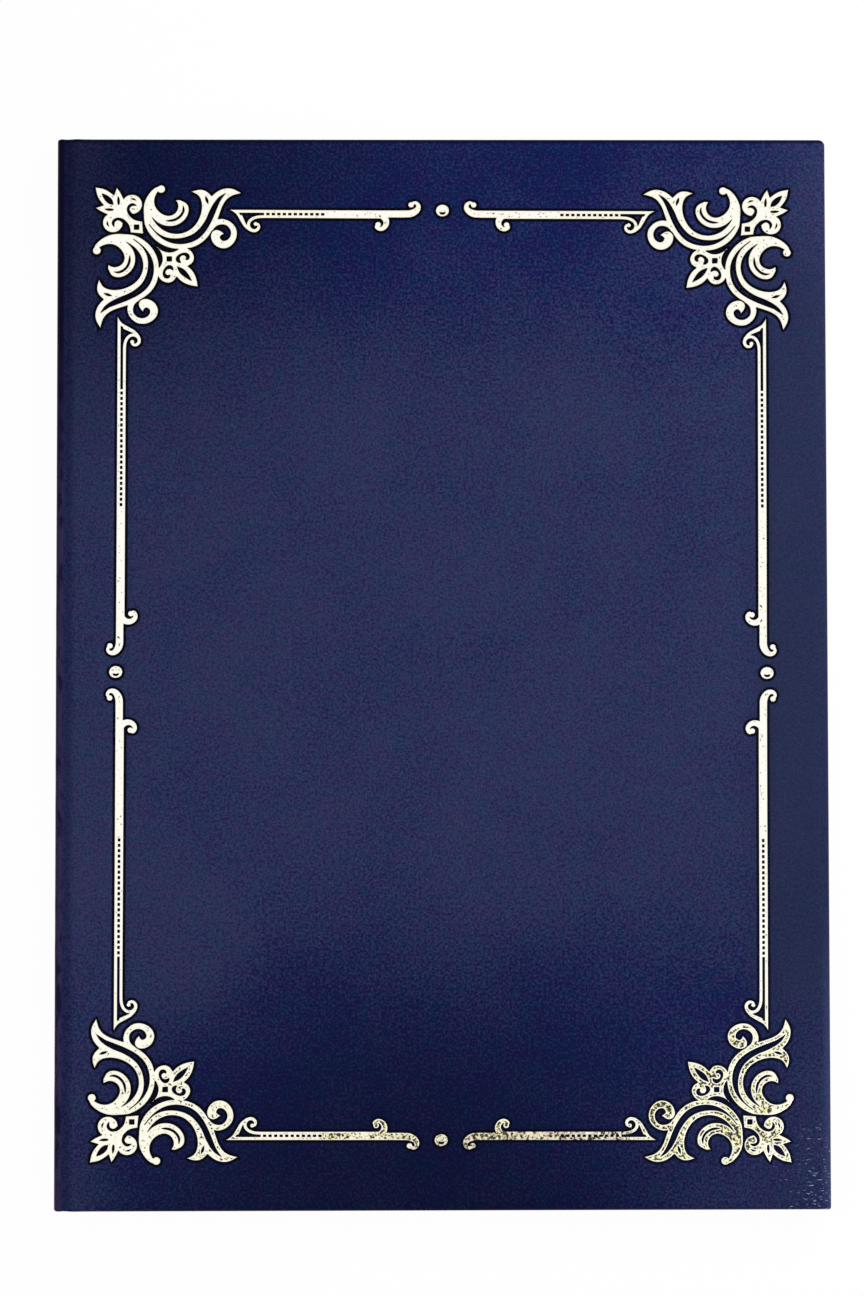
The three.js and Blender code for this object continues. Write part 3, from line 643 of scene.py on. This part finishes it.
# %% Foam pad
PAD_INSET, PAD_EDGE, PAD_RISE = 1.35, 3.2, 1.42
PAD_START, PAD_FLOOR = 5.7, FRONT_DEPTH - 2.5
NET_START, NET_MARGIN, NET_STEP = 12, 8, 6


def foam_pad():
    """Height over the floor is a quarter round of the inset, times the pad's rise."""
    limit = HEAD - PAD_INSET
    u = edged(PAD_START, spread(NET_START, WIDTH - NET_MARGIN, NET_STEP), WIDTH - PAD_INSET)
    v = edged(-limit, spread(NET_MARGIN - limit, limit - NET_MARGIN, NET_STEP), limit)
    u, v = np.meshgrid(u, v)
    inset = np.minimum(np.minimum(u - PAD_START, WIDTH - PAD_INSET - u), limit - np.abs(v))
    rise = PAD_RISE * np.sqrt(1 - (1 - np.clip(inset / PAD_EDGE, 0, 1)) ** 2)
    floor = TOP - PAD_FLOOR
    faces = grid_faces(*u.shape)
    faces = faces[(rise.ravel()[faces] > 0).any(1)]
    none = np.zeros(u.size)
    top = np.stack([SPINE_FACE + u, v, floor + rise], -1).reshape(-1, 3)
    underside = np.stack([SPINE_FACE + u, v, np.full(u.shape, floor)], -1).reshape(-1, 3)
    points, faces, _ = joined([(top, faces, none), (underside, turned(faces), none)])
    return mesh_object("front_padding", points, faces)


pad = foam_pad()
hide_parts("front_pad")
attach(pad, "front_cover")

# %% [markdown]
# ## Lining of the joint
# Inside, a strip of lining paper covers the spine and folds out under the lining of each cover. Closed, it
# hangs in soft folds beside the boards' edges. Each half is a grid over the same q as the skin. Towards
# head and foot it climbs over the skin's turned-in edge.

# %% Two halves of the joint lining
LINER_Q = [0, 2.05, 3.5, 5.1, 6.7, 8.2, 8.9, 9.5, 10.3, 10.9]
LINER_X = [1.4, 1.5, 1.9, 2.2, 3.1, 4.5, 4.9, 5.1, 5.8, 6.9]
LINER_FRONT = [4.65, 3.2, 2.1, 1.7, 2.15, 1.9, 2.5, 3.9, 4.3, 4.3]
LINER_BACK = [4.65, 3.2, 2.1, 1.7, 2.15, 1.7, 1.9, 2.4, 2.8, 2.8]
LINER_MARGIN, LINER_STEP, LINER_ALONG = 6.0, 0.35, 1.5
LINER, LINER_LIFT = 0.28, 0.31
CLIMB_BEFORE, CLIMB_RUN = 4, 2.5


def joint_liner(name, depths, board):
    """A mix of two lines: close to the skin in the middle, square off the turned-in flap at the ends."""
    cover, limit = COVERS[board], HEAD - LINER_MARGIN
    q, y = np.meshgrid(spread(0, LINER_Q[-1], LINER_STEP), spread(-limit, limit, LINER_ALONG))
    over_x, over_depth = inner_line(q, cover["inner"])
    step_x, step_depth = np.gradient(over_x, axis=1), np.gradient(over_depth, axis=1)
    lift = LINER_LIFT / np.hypot(step_x, step_depth)
    over_x, over_depth = over_x - lift * step_depth, over_depth + lift * step_x
    flap = ease((np.abs(y) - HEAD + TURN_IN + CLIMB_BEFORE) / CLIMB_RUN)
    along = (1 - flap) * np.interp(q, LINER_Q, LINER_X) + flap * np.minimum(over_x, LINER_X[-1])
    depth = (1 - flap) * np.interp(q, LINER_Q, depths) + flap * over_depth
    points = np.stack([SPINE_FACE + along, y, cover["level"](depth)], -1).reshape(-1, 3)
    faces = grid_faces(*q.shape)
    liner = mesh_object(name, points, turned(faces) if board == "front" else faces)
    thicken(liner, LINER)
    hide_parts("spine_liner")
    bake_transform(liner)
    return liner


liners = [
    joint_liner("front_joint_liner", LINER_FRONT, "front"),
    joint_liner("back_joint_liner", LINER_BACK, "back"),
]

# %% [markdown]
# ## Satin ribbons
# Four ribbons cross the corners of the inner back cover and hold the certificate. Each is a flat strip cut
# to length and tucked over the lining's two edges. As a surface it has one parameter along the ribbon and
# one across it. It lies on the clear sheet with a slight arch, and its selvedges are a little thicker.

# %% Ribbons
RIBBON_NEAR, RIBBON_WIDTH = 38.0, 16.0
RIBBON_FACE, TUCK_FOOT, RIBBON_WALL = 3.9, 3.05, 0.24
ARCH_RISE, SELVEDGE_RISE, SELVEDGE_SHARE = 0.16, 0.03, 0.04
lining_low, lining_high = box_mm("back_lining")


def ribbon(name, side_x, side_y):
    """Crosses a corner from edge to edge: up, over, arched across it as a sine, and down again."""
    along = np.concatenate([[-3, -2, -1.5], spread(0, 1, 0.02), [2.5, 3, 4]])[:, None]
    across = np.concatenate([[0, 0.03, 0.06], spread(0.1, 0.9, 0.1), [0.94, 0.97, 1]])[None, :]
    share = np.clip(along, 0, 1)
    reach = RIBBON_NEAR + across * RIBBON_WIDTH * math.sqrt(2)
    beyond = np.abs(along - 0.5), [0.5, 2.0, 2.5, 3.5]
    tuck = np.interp(*beyond, [0.0, 0.22, 0.3, 0.3])
    down = np.interp(*beyond, [0.0, 0.08, 0.3, RIBBON_FACE - TUCK_FOOT])
    from_side = reach * (1 - share) - np.where(along > 0.5, tuck, 0)
    from_end = reach * share - np.where(along <= 0.5, tuck, 0)
    selvedge = SELVEDGE_RISE * np.exp(-((np.minimum(across, 1 - across) / SELVEDGE_SHARE) ** 2))
    arch = ARCH_RISE * np.sin(np.pi * share) * (1 + 0.3 * np.sin(5 * share + 4 * across))
    height = RIBBON_FACE - down + arch + selvedge * (down < 0.2)
    edge_x, edge_y, _ = np.where([side_x > 0, side_y > 0, True], lining_high, lining_low)
    x, y = edge_x - side_x * from_side, edge_y - side_y * from_end
    points = np.stack(np.broadcast_arrays(x, y, height), -1)
    run = np.concatenate([[0], np.cumsum(np.linalg.norm(np.diff(points[:, 7], axis=0), axis=1))])[:, None]
    place = np.stack(np.broadcast_arrays(run, across * RIBBON_WIDTH, 0.0), -1)
    faces = grid_faces(len(along), across.size)
    faces = faces if side_x * side_y > 0 else turned(faces)
    made = mesh_object(name, points.reshape(-1, 3), faces, place=place.reshape(-1, 3))
    thicken(made, RIBBON_WALL)
    return made, run[-1, 0]


SIDES = {"left": -1, "right": 1, "head": 1, "foot": -1}
ribbons = []
for end in ("head", "foot"):
    for side in ("left", "right"):
        satin, length = ribbon(f"satin_ribbon_{end}_{side}", SIDES[side], SIDES[end])
        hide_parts(f"ribbon_{end}_{side}")
        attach(satin, "back_cover")
        ribbons.append(satin)
print("ribbons cut to", RIBBON_WIDTH, "by", round(float(length), 1), "mm")

# %% [markdown]
# ## Building materials from nodes
# A material is a small program. Writing it node by node takes many lines, so one helper adds a node
# beside another and sets or links its inputs in a single call. The rest read like sums: a product, a
# ramp, a mix of colours. Grain is used by two finishes, so it is a node group, built once.

# %% Helpers for node trees


def add(beside, kind, inputs=None, output=0, **settings):
    """Adds a node to another's tree, links or sets its inputs, and gives back one output socket."""
    tree = beside.id_data
    made = tree.nodes.new("ShaderNode" + kind)
    for key, value in settings.items():
        setattr(made, key, value)
    for key, value in (inputs or {}).items():
        if isinstance(value, bpy.types.NodeSocket):
            tree.links.new(value, made.inputs[key])
        else:
            made.inputs[key].default_value = value
    return made.outputs[output]


def math_node(operation, a, b=0.0, clamp=False):
    """A Math node on two values, of which one at least is a socket."""
    socket = a if isinstance(a, bpy.types.NodeSocket) else b
    return add(socket, "Math", {0: a, 1: b}, operation=operation, use_clamp=clamp)


OPERATIONS = ("ADD", "SUBTRACT", "MULTIPLY", "DIVIDE", "MAXIMUM", "ABSOLUTE", "SINE")
plus, minus, times, divided, most, positive, sine = (partial(math_node, name) for name in OPERATIONS)


def off(value, centre=0.0):
    """How far a value lies from a centre, on either side."""
    return positive(minus(value, centre))


def ramp(value, low, high, to_low=0.0, to_high=1.0):
    """Maps a value from one range to another, clamped, as a smooth step."""
    inputs = {"Value": value, 1: low, 2: high, 3: to_low, 4: to_high}
    return add(value, "MapRange", inputs, interpolation_type="SMOOTHSTEP")


def mix(share, first, second):
    """Mixes two colours, each a socket or three numbers."""
    pair = [c if isinstance(c, bpy.types.NodeSocket) else (*c, 1) for c in (first, second)]
    return add(share, "Mix", {0: share, 6: pair[0], 7: pair[1]}, output=2, data_type="RGBA")


def layered(colour, layers):
    """Lays colours over a first one, from the lowest to the top, each with a share of its own."""
    for share, tone in layers:
        colour = mix(share, colour, tone)
    return colour


def new_material(name, **constants):
    """A material with a Principled shader whose constant inputs are set, and that shader."""
    material = bpy.data.materials.new(name)
    material.use_nodes = True
    shader = material.node_tree.nodes["Principled BSDF"]
    for key, value in constants.items():
        shader.inputs[key.replace("_", " ")].default_value = value
    return material, shader


def noise(where, scale, detail=2.0, roughness=0.6, distortion=0.0, stretch=None):
    """Soft noise from 0 to 1, with its scale in waves per millimetre, perhaps of a stretched place."""
    if stretch:
        where = add(where, "Mapping", {"Vector": where, "Scale": stretch})
    inputs = {"Vector": where, "Scale": scale, "Detail": detail, "Roughness": roughness}
    return add(where, "TexNoise", inputs | {"Distortion": distortion})


def link(node, bump=None, **sockets):
    """Links sockets to a node by name, and a bump made of a height, a strength and a depth in mm."""
    if bump:
        height, strength, depth = bump
        inputs = {"Strength": strength, "Distance": depth * MM, "Height": height}
        sockets["Normal"] = add(height, "Bump", inputs)
    for name, socket in sockets.items():
        node.id_data.links.new(socket, node.inputs[name.replace("_", " ")])


def attribute(beside, name, output="Vector"):
    """Reads an attribute of the mesh."""
    return add(beside, "Attribute", output=output, attribute_name=name)


def place_parts(where):
    """The x and y of a place."""
    x = add(where, "SeparateXYZ", {0: where})
    return x, x.node.outputs[1]


def by_distance(where, point, near, far, close, away=1.0):
    """Passes from one value close to a point to another away from it."""
    distance = add(where, "VectorMath", {0: where, 1: point}, output=1, operation="DISTANCE")
    return ramp(distance, near, far, close, away)


def object_mm(beside):
    """Object coordinates in millimetres, for CAD nodes."""
    coordinates = add(beside, "TexCoord", output="Object")
    return add(beside, "VectorMath", {0: coordinates, "Scale": 1 / MM}, operation="SCALE")


# %% Grain group
GRAIN_SOCKETS = [
    ("Where", "INPUT", "NodeSocketVector"),
    ("Cell", "INPUT", "NodeSocketFloat"),
    ("Height", "OUTPUT", "NodeSocketFloat"),
    ("Valley", "OUTPUT", "NodeSocketFloat"),
]
grain = bpy.data.node_groups.new("pebble_grain", "ShaderNodeTree")
for name, side, kind in GRAIN_SOCKETS:
    grain.interface.new_socket(name, in_out=side, socket_type=kind)
where, cell_size = grain.nodes.new("NodeGroupInput").outputs[:2]
bent = add(grain, "TexNoise", {"Vector": where, "Scale": 0.9, "Detail": 2.0}, output=1)
shifted = add(grain, "VectorMath", {0: bent, 1: where}, operation="ADD")
cells = {"Vector": shifted, "Scale": divided(1.0, cell_size), "Randomness": 0.9}
cell = add(grain, "TexVoronoi", cells, feature="SMOOTH_F1")
height = plus(ramp(cell, 0.1, 0.75, 1.0, 0.0), times(noise(where, 7.0, 3.0), 0.35))
link(grain.nodes.new("NodeGroupOutput"), Height=height, Valley=ramp(cell, 0.35, 0.8))


def place_grain(where, cell_size):
    """Puts the grain group into a material, and gives back its height and its valleys."""
    height = add(where, "Group", {"Where": where, "Cell": cell_size}, node_tree=grain)
    return height, height.node.outputs["Valley"]


# %% [markdown]
# ## Leatherette
# The covering is paper or cloth coated with dull navy plastic and embossed with a fine grain. Its colour
# carries painted light: painted shade in the grain's valleys, towards the head at the spine, at the middle
# of the foot, on the head edge and in the groove; a painted milky sheen across the middle, along the long
# sides and in three spots, fading towards head and foot; painted sheen on the roll; a painted highlight at
# the foot of the open edge; and painted glints by the lower right corner. A duller slate strip runs along
# the open edge. The line pressed round the foil is darkest, partly burnished by the press and partly
# painted shade.
# Each mask passes from one value to another between two places, which are in millimetres from the middle of
# the cover. Colour and bump both come from the grain group.

# %% Leatherette material
PLUM, TEAL = (0.0066, 0.0075, 0.07), (0.0032, 0.0115, 0.071)
# The milky colours are a painted sheen.
SHEEN_PLUM, SHEEN_TEAL = (0.0374, 0.0383, 0.105), (0.0311, 0.0428, 0.107)
NAVY_DEEP, NAVY_BLACK = (0.0018, 0.0034, 0.03), (0.0005, 0.0007, 0.0035)
# The head blue is painted shade on the head edge; the roll grey is a painted sheen.
HEAD_SHADE_BLUE, ROLL_DARK, ROLL_SHEEN_GREY = (0.0003, 0.001, 0.02), (0.004, 0.0025, 0.022), (0.027, 0.019, 0.06)
# The edge blue is a painted highlight, and the glint colour paints glints.
DULL_SLATE, EDGE_HIGHLIGHT_BLUE, GLINT = (0.0165, 0.022, 0.056), (0.045, 0.062, 0.15), (0.25, 0.28, 0.43)
# Spots of painted sheen: centre, near and far reach, and share.
SHEEN_PLACES = [
    ((112, -140, 9), 25, 80, 0.52),
    ((-95, -62, 9), 15, 80, 0.98),
    ((90, 115, 9), 15, 70, 0.5),
]
# Places of painted shade: towards the head at the spine, and at the middle of the foot.
SHADE_AT_HEAD, SHADE_AT_FOOT = ((-115, 165, 9), 20, 130, 0.5), ((-15, -175, 9), 30, 120, 0.45)
# Where painted glints gather by the lower right corner, and how the darkening round the foil, partly
# painted shade, weakens there.
GLINT_CORNER, PRESSED_SHADE_REACH = ((118, -150, 9), 6, 50, 0), ((110, -150, 9), 10, 260, 0.82, 0.99)
# Fades of the painted shade in the groove and of the painted sheen on the roll.
GROOVE_SHADE_FADE, ROLL_SHEEN_FADE = (SPINE_FACE + 3.2, SPINE_FACE + 6.0), (SPINE_FACE + 1.9, SPINE_FACE + 2.7)
# Fade of the painted shade on the head edge.
HEAD_SHADE_FADE = HEAD - 1.9, HEAD - 0.7

leather, shader = new_material("navy_leatherette", Specular_IOR_Level=0.04, IOR=1.45)
where = attribute(shader, "place")
x, y = place_parts(where)
height, valley = place_grain(where, 0.55)
hue = ramp(noise(where, 0.25), 0.4, 0.6)
off_middle = off(y, 12)
# Painted sheen: a milky band across the middle and along the long sides, and three spots, fading towards
# head and foot, broken by random speckle and cloud.
sheen_mask = ramp(off_middle, 55, 130, 0.85, 0.08)
sheen_mask = most(sheen_mask, ramp(off(x), 82, 108, 0, 0.7))
for spot in SHEEN_PLACES:
    sheen_mask = most(sheen_mask, by_distance(where, *spot, 0))
speckle = ramp(noise(where, 1.3), 0.3, 0.7, -0.55, 0.55)
cloud = ramp(noise(where, 0.04, 2.0, 0.5), 0.3, 0.7, -0.12, 0.12)
painted_sheen = plus(plus(sheen_mask, speckle), cloud, clamp=True)
shade = ramp(noise(where, 1.7, 2.0, 0.7), 0.3, 0.7, 0, 0.55)
dull = times(ramp(x, 84, 96, 0, 0.6), ramp(off_middle, 95, 122, 1, 0.2))
# Painted highlight along the open edge towards the foot.
edge_light = times(ramp(x, 109, 112, 0, 0.5), ramp(y, -110, -60, 1, 0))
# Painted sheen on the roll beside the spine, broken by dark blotches and giving way to the dark tone
# towards the head.
along_spine = noise(where, 1.0, stretch=(0.3, 0.12, 1.0))
roll_sheen = times(ramp(along_spine, 0.36, 0.54, 0.15, 1), ramp(y, 40, 105, 1, 0))
colour = mix(hue, PLUM, TEAL)
layers = [
    (painted_sheen, mix(hue, SHEEN_PLUM, SHEEN_TEAL)),
    # Random darker mottle, and painted shade in the grain's valleys.
    (most(shade, times(valley, 0.3)), NAVY_DEEP),
    (dull, DULL_SLATE),
    # Painted shade on the head edge.
    (ramp(y, *HEAD_SHADE_FADE, 0, 0.9), HEAD_SHADE_BLUE),
    (edge_light, EDGE_HIGHLIGHT_BLUE),
    # Painted shade in the groove beside the roll.
    (ramp(x, *GROOVE_SHADE_FADE, 0.45, 0), NAVY_DEEP),
    # Painted sheen on the roll.
    (ramp(x, *ROLL_SHEEN_FADE, 0.95, 0), mix(roll_sheen, ROLL_DARK, ROLL_SHEEN_GREY)),
]
# Painted shade: darker towards the head at the spine and at the middle of the foot.
painted_shade = times(by_distance(where, *SHADE_AT_HEAD), by_distance(where, *SHADE_AT_FOOT))
colour = mix(painted_shade, NAVY_BLACK, layered(colour, layers))
# Painted glints: short bright streaks by the lower right corner.
streak = noise(where, 1.0, stretch=(0.6, 2.6, 1.0))
glint_fade = times(by_distance(where, *GLINT_CORNER), 0.25)
glint = ramp(minus(streak, glint_fade), 0.62, 0.66)
# The line pressed round the foil is darkened: partly burnished by the press, partly painted shade of the
# pressed step, weaker towards the lower right corner.
pressed = ramp(attribute(shader, "field", "Fac"), 0.05, 0.8)
pressed = times(pressed, by_distance(where, *PRESSED_SHADE_REACH))
colour = layered(colour, [(glint, GLINT), (pressed, NAVY_BLACK)])
gloss = ramp(cloud, -0.12, 0.12, 0.48, 0.38)
link(shader, (height, 0.7, 0.06), Base_Color=colour, Roughness=gloss)

# %% [markdown]
# ## Gold foil material
# Pale gold foil is nearly cream under a white light. It takes up the grain beneath it, so fine dark pits
# show the navy where the foil hasn't taken. Along the foot, most towards the right, a painted dim
# reflection makes the pits more numerous, turns the middle of each stroke yellow with deeper speckles and
# the foot bar brown. The rim keeps the pale gold there, and elsewhere takes a warm painted shade, strongest
# on the head and foot strokes.

# %% Foil material
# The yellow, deep and brown golds are painted dim reflection; the edge gold is a painted rim shade.
GOLD_PALE, GOLD_DIM_YELLOW, GOLD_DIM_DEEP = (0.99, 0.975, 0.90), (0.94, 0.92, 0.52), (0.60, 0.56, 0.20)
GOLD_RIM_SHADE, GOLD_DIM_BROWN, OLIVE = (0.93, 0.88, 0.66), (0.68, 0.55, 0.51), (0.008, 0.007, 0.006)
FOOT_BAR_LEFT, FOOT_BAR_RIGHT, FOOT_BAR_TOP = (-66.0, 40.0), (51.0, 57.0), (-133.2, -131.5)
PIT_LEVELS, DIM_SPECKLE_LEVELS = (0.655, 0.668), (0.54, 0.66)

foil, shader = new_material("pale_gold_foil", Specular_IOR_Level=0.5)
where = attribute(shader, "place")
from_rim = attribute(shader, "field", "Fac")
x, y = place_parts(where)
# Painted dim reflection: strongest along the foot, right of the middle, and on the foot bar, where the
# foil's reflection misses the light.
across = minus(1.15, times(off(x, 30), 0.0078))
dim_reflection = times(ramp(y, -116, -84, 1, 0.08), across)
dim_reflection = times(dim_reflection, ramp(noise(where, 0.13, 2.0, 0.5), 0.35, 0.65, 0.65, 1.3))
foot_bar = times(ramp(x, *FOOT_BAR_RIGHT, 1, 0), ramp(x, *FOOT_BAR_LEFT))
foot_bar = times(foot_bar, ramp(y, *FOOT_BAR_TOP, 1, 0))
dim_reflection = plus(dim_reflection, times(foot_bar, 0.2))
middle = most(ramp(from_rim, 0.18, 0.36), foot_bar)
row = ramp(from_rim, 0.28, 0.42, 0.09, 0.19)
row = times(row, ramp(from_rim, 0.56, 0.75, 1, 0.5))
row = add(row, "Mix", {0: foot_bar, 2: row, 3: 0.11})
# The pits are the foil's own gaps; the painted dim reflection adds more of them, and the deeper speckles.
reach = plus(noise(where, 1.35, 2.5), times(dim_reflection, row))
pits = times(ramp(reach, *PIT_LEVELS), middle)
dim_speckle = times(ramp(reach, *DIM_SPECKLE_LEVELS), middle)
tint = noise(where, 0.7, 3.0)
yellow = times(ramp(tint, 0.4, 0.6, 0.3, 1.1), ramp(from_rim, 0.14, 0.4, 0.15, 1.1))
# Warm painted shade on the rounded rim, strongest on the head and foot strokes, left out where the
# reflection is dimmed.
edge = times(ramp(from_rim, 0.05, 0.34, 0.8, 0), ramp(dim_reflection, 0.1, 0.6, 1, 0))
layers = [
    (times(dim_reflection, yellow), GOLD_DIM_YELLOW),
    (times(edge, ramp(off(y), 95, 112, 0.15, 1)), GOLD_RIM_SHADE),
    (times(dim_speckle, ramp(dim_reflection, 0, 1, 0.08, 0.9)), GOLD_DIM_DEEP),
    (times(foot_bar, ramp(tint, 0.42, 0.58, 0.12, 0.85)), GOLD_DIM_BROWN),
    (pits, OLIVE),
]
colour = layered(GOLD_PALE, layers)
height, _ = place_grain(where, 0.4)
gloss = ramp(tint, 0.2, 0.8, 0.24, 0.38)
link(shader, (height, 0.25, 0.03), Base_Color=colour, Roughness=gloss, Metallic=minus(1.0, pits))

# %% [markdown]
# ## Papers, boards and foam
# The linings are navy satin paper with a faint laid line, the boards are grey pulp flecked with fibres, and
# the foam is cream with open cells. They are hidden while the holder is closed, but it opens, and any part
# of it can be used on its own.

# %% Lining, greyboard and foam
PAPER_DARK, PAPER_LIGHT, PAPER_CLOUD = (0.008, 0.012, 0.045), (0.018, 0.025, 0.078), (0.012, 0.016, 0.05)
BOARD_DARK, BOARD_LIGHT, BOARD_FLECK = (0.21, 0.19, 0.165), (0.33, 0.305, 0.27), (0.1, 0.09, 0.08)
FOAM_DARK, FOAM_LIGHT = (0.5, 0.47, 0.38), (0.82, 0.79, 0.69)


def paper_material(name, read_place):
    """Satin paper: long fine lines crossed by a slow cloud."""
    material, shader = new_material(name, Specular_IOR_Level=0.35)
    where = read_place(shader)
    lines = noise(where, 4.0, 3.0, stretch=(1.0, 0.06, 1.0))
    cloud = times(noise(where, 0.06, 3.0, 0.5), 0.4)
    colour = layered(PAPER_DARK, [(lines, PAPER_LIGHT), (cloud, PAPER_CLOUD)])
    gloss = ramp(lines, 0.3, 0.7, 0.42, 0.6)
    link(shader, (lines, 0.3, 0.03), Base_Color=colour, Roughness=gloss)
    return material


lining_paper = paper_material("navy_satin_paper", object_mm)
liner_paper = paper_material("navy_satin_paper_strip", lambda shader: attribute(shader, "place"))

greyboard, shader = new_material("greyboard", Roughness=0.9, Specular_IOR_Level=0.2)
where = object_mm(shader)
fibres = noise(where, 2.5, 5.0, 0.7, 1.5, stretch=(1.0, 0.25, 3.0))
flecks = ramp(add(where, "TexVoronoi", {"Vector": where, "Scale": 0.9}), 0.02, 0.12, 0.6, 0)
colour = layered(BOARD_DARK, [(fibres, BOARD_LIGHT), (flecks, BOARD_FLECK)])
link(shader, (fibres, 0.5, 0.08), Base_Color=colour)

foam, shader = new_material("cream_foam", Roughness=0.95, Specular_IOR_Level=0.15)
# Painted shade in the foam's open cells: darker in the middle of each cell, where the bump sinks.
bubble = add(shader, "TexVoronoi", {"Vector": attribute(shader, "place"), "Scale": 2.2})
colour = mix(bubble, FOAM_DARK, FOAM_LIGHT)
link(shader, (bubble, 0.6, 0.15), Base_Color=colour)

# %% [markdown]
# ## Satin ribbon and clear sheet
# Satin is woven so that long threads run along the ribbon and catch the light, with a dense selvedge at
# each side. Its pattern reads the place along and across the ribbon. The clear sheet is thin polyester
# film. Real glass would bend and swallow the light that the lining needs, so the film is mostly alpha: it
# is nearly gone from above, and glossier and denser when it is seen flat, with a few fine scuffs.

# %% Satin and film materials
SATIN_DARK, SATIN_LIGHT, SATIN_SELVEDGE = (0.012, 0.018, 0.085), (0.04, 0.052, 0.17), (0.014, 0.02, 0.08)
FILM_CLEAR, FILM_SCUFFED = (0.035, 0.042, 0.066), (0.06, 0.07, 0.10)

satin_blue, shader = new_material("navy_satin_ribbon", Specular_IOR_Level=0.35, Anisotropic=0.6)
where = attribute(shader, "place")
threads = noise(where, 1.0, 2.0, 0.5, stretch=(0.15, 7.0, 1.0))
run, across = place_parts(where)
selvedge = ramp(off(across, RIBBON_WIDTH / 2), 7.1, 7.4)
ribs = sine(times(run, 14.0))
colour = layered(SATIN_DARK, [(threads, SATIN_LIGHT), (selvedge, SATIN_SELVEDGE)])
weave = plus(threads, times(ribs, selvedge))
gloss = ramp(threads, 0.3, 0.7, 0.28, 0.42)
link(shader, (weave, 0.35, 0.03), Base_Color=colour, Roughness=gloss)

film, shader = new_material("clear_film", Specular_IOR_Level=0.8, IOR=1.5)
scuffs = noise(object_mm(shader), 0.8, 4.0, 0.7, stretch=(1.0, 0.05, 1.0))
colour = mix(scuffs, FILM_CLEAR, FILM_SCUFFED)
gloss = ramp(scuffs, 0.45, 0.7, 0.04, 0.18)
seen_flat = ramp(add(shader, "Fresnel", {"IOR": 1.5}), 0.04, 0.6, 0.05, 0.7)
cover_share = plus(seen_flat, ramp(scuffs, 0.45, 0.75, 0.0, 0.02))
link(shader, Base_Color=colour, Roughness=gloss, Alpha=cover_share)

# %% Every piece gets its finish
FINISHES = [
    ([front_skin, back_skin], leather, "leatherette"),
    (gold, foil, "gold_foil"),
    ([pad], foam, "foam"),
    (liners, liner_paper, "lining"),
    (ribbons, satin_blue, "satin"),
    ([nodes["front_lining"], nodes["back_lining"]], lining_paper, "lining"),
    ([nodes["front_board"], nodes["back_board"], nodes["spine_stiffener"]], greyboard, "greyboard"),
    ([nodes["clear_sheet"]], film, "clear_film"),
]
for pieces, material, slot in FINISHES:
    for piece in pieces:
        piece.data.materials.clear()
        piece.data.materials.append(material)
print(sum(len(pieces) for pieces, _, _ in FINISHES), "pieces finished with", len(FINISHES), "materials")

# %% [markdown]
# ## Floor and light
# The photograph is a plain product shot on white. The floor lies a tenth of a millimetre under the cover.
# It keeps a faint shadow, but shows the camera an even white, and from below it is seen through. The world
# is white wherever it is seen, in a reflection too, and dimmer as a light, so that soft lamps can shape the
# navy face.

# %% Floor, world and lamps
SEEN = ("Is Camera Ray", "Is Glossy Ray", "Is Transmission Ray")
WORLD_LIGHT, FLOOR_GLOW = 0.3, 0.965
FLOOR_REACH, FLOOR_LEVEL = 3000, -0.1


def seen_directly(beside):
    """1 for rays that show a surface as it looks: from the camera, or by way of gloss or glass."""
    share = add(beside, "LightPath", output=SEEN[0])
    path = share.node
    for name in SEEN[1:]:
        share = most(share, path.outputs[name])
    return share


bpy.context.scene.view_settings.view_transform = "Standard"
world = bpy.data.worlds.new("studio")
world.use_nodes = True
bpy.context.scene.world = world
background = world.node_tree.nodes["Background"]
background.inputs["Color"].default_value = (1, 1, 1, 1)
seen = {"Value": seen_directly(background), 3: WORLD_LIGHT, 4: 1.0}
link(background, Strength=add(background, "MapRange", seen))

corners = FLOOR_REACH * np.array([[-1, -1], [1, -1], [1, 1], [-1, 1]])
floor_points = np.column_stack([corners, np.full(4, FLOOR_LEVEL)])
floor = mesh_object("floor", floor_points, np.array([[0, 1, 2], [0, 2, 3]]))
paper, shader = new_material("white_floor", Base_Color=(0.86, 0.86, 0.85, 1), Roughness=0.9)
lit = times(seen_directly(shader), FLOOR_GLOW)
shown = add(shader, "MixShader", {0: lit, 1: shader.outputs[0], 2: add(shader, "Emission")})
below = add(shader, "NewGeometry", output="Backfacing")
shown = add(shader, "MixShader", {0: below, 1: shown, 2: add(shader, "BsdfTransparent")})
link(paper.node_tree.nodes["Material Output"], Surface=shown)
floor.data.materials.append(paper)

LAMPS = [
    ("lamp_head_right", (0.3, 0.3, 0.3), 0.3, 2.1, False),
    ("lamp_left", (-0.13, -0.1, 0.33), 0.4, 0.6, False),
    ("lamp_foot_right", (0.34, -0.32, 0.27), 0.12, 0.4, True),
]
for name, place, size, power, in_gloss in LAMPS:
    data = bpy.data.lights.new(name, "AREA")
    data.shape = "DISK"
    data.size = size
    data.energy = power
    lamp = scene_object(name, data)
    lamp.location = place
    lamp.rotation_euler = (-Vector(place)).to_track_quat("-Z", "Y").to_euler()
    lamp.visible_camera = False
    lamp.visible_glossy = in_gloss
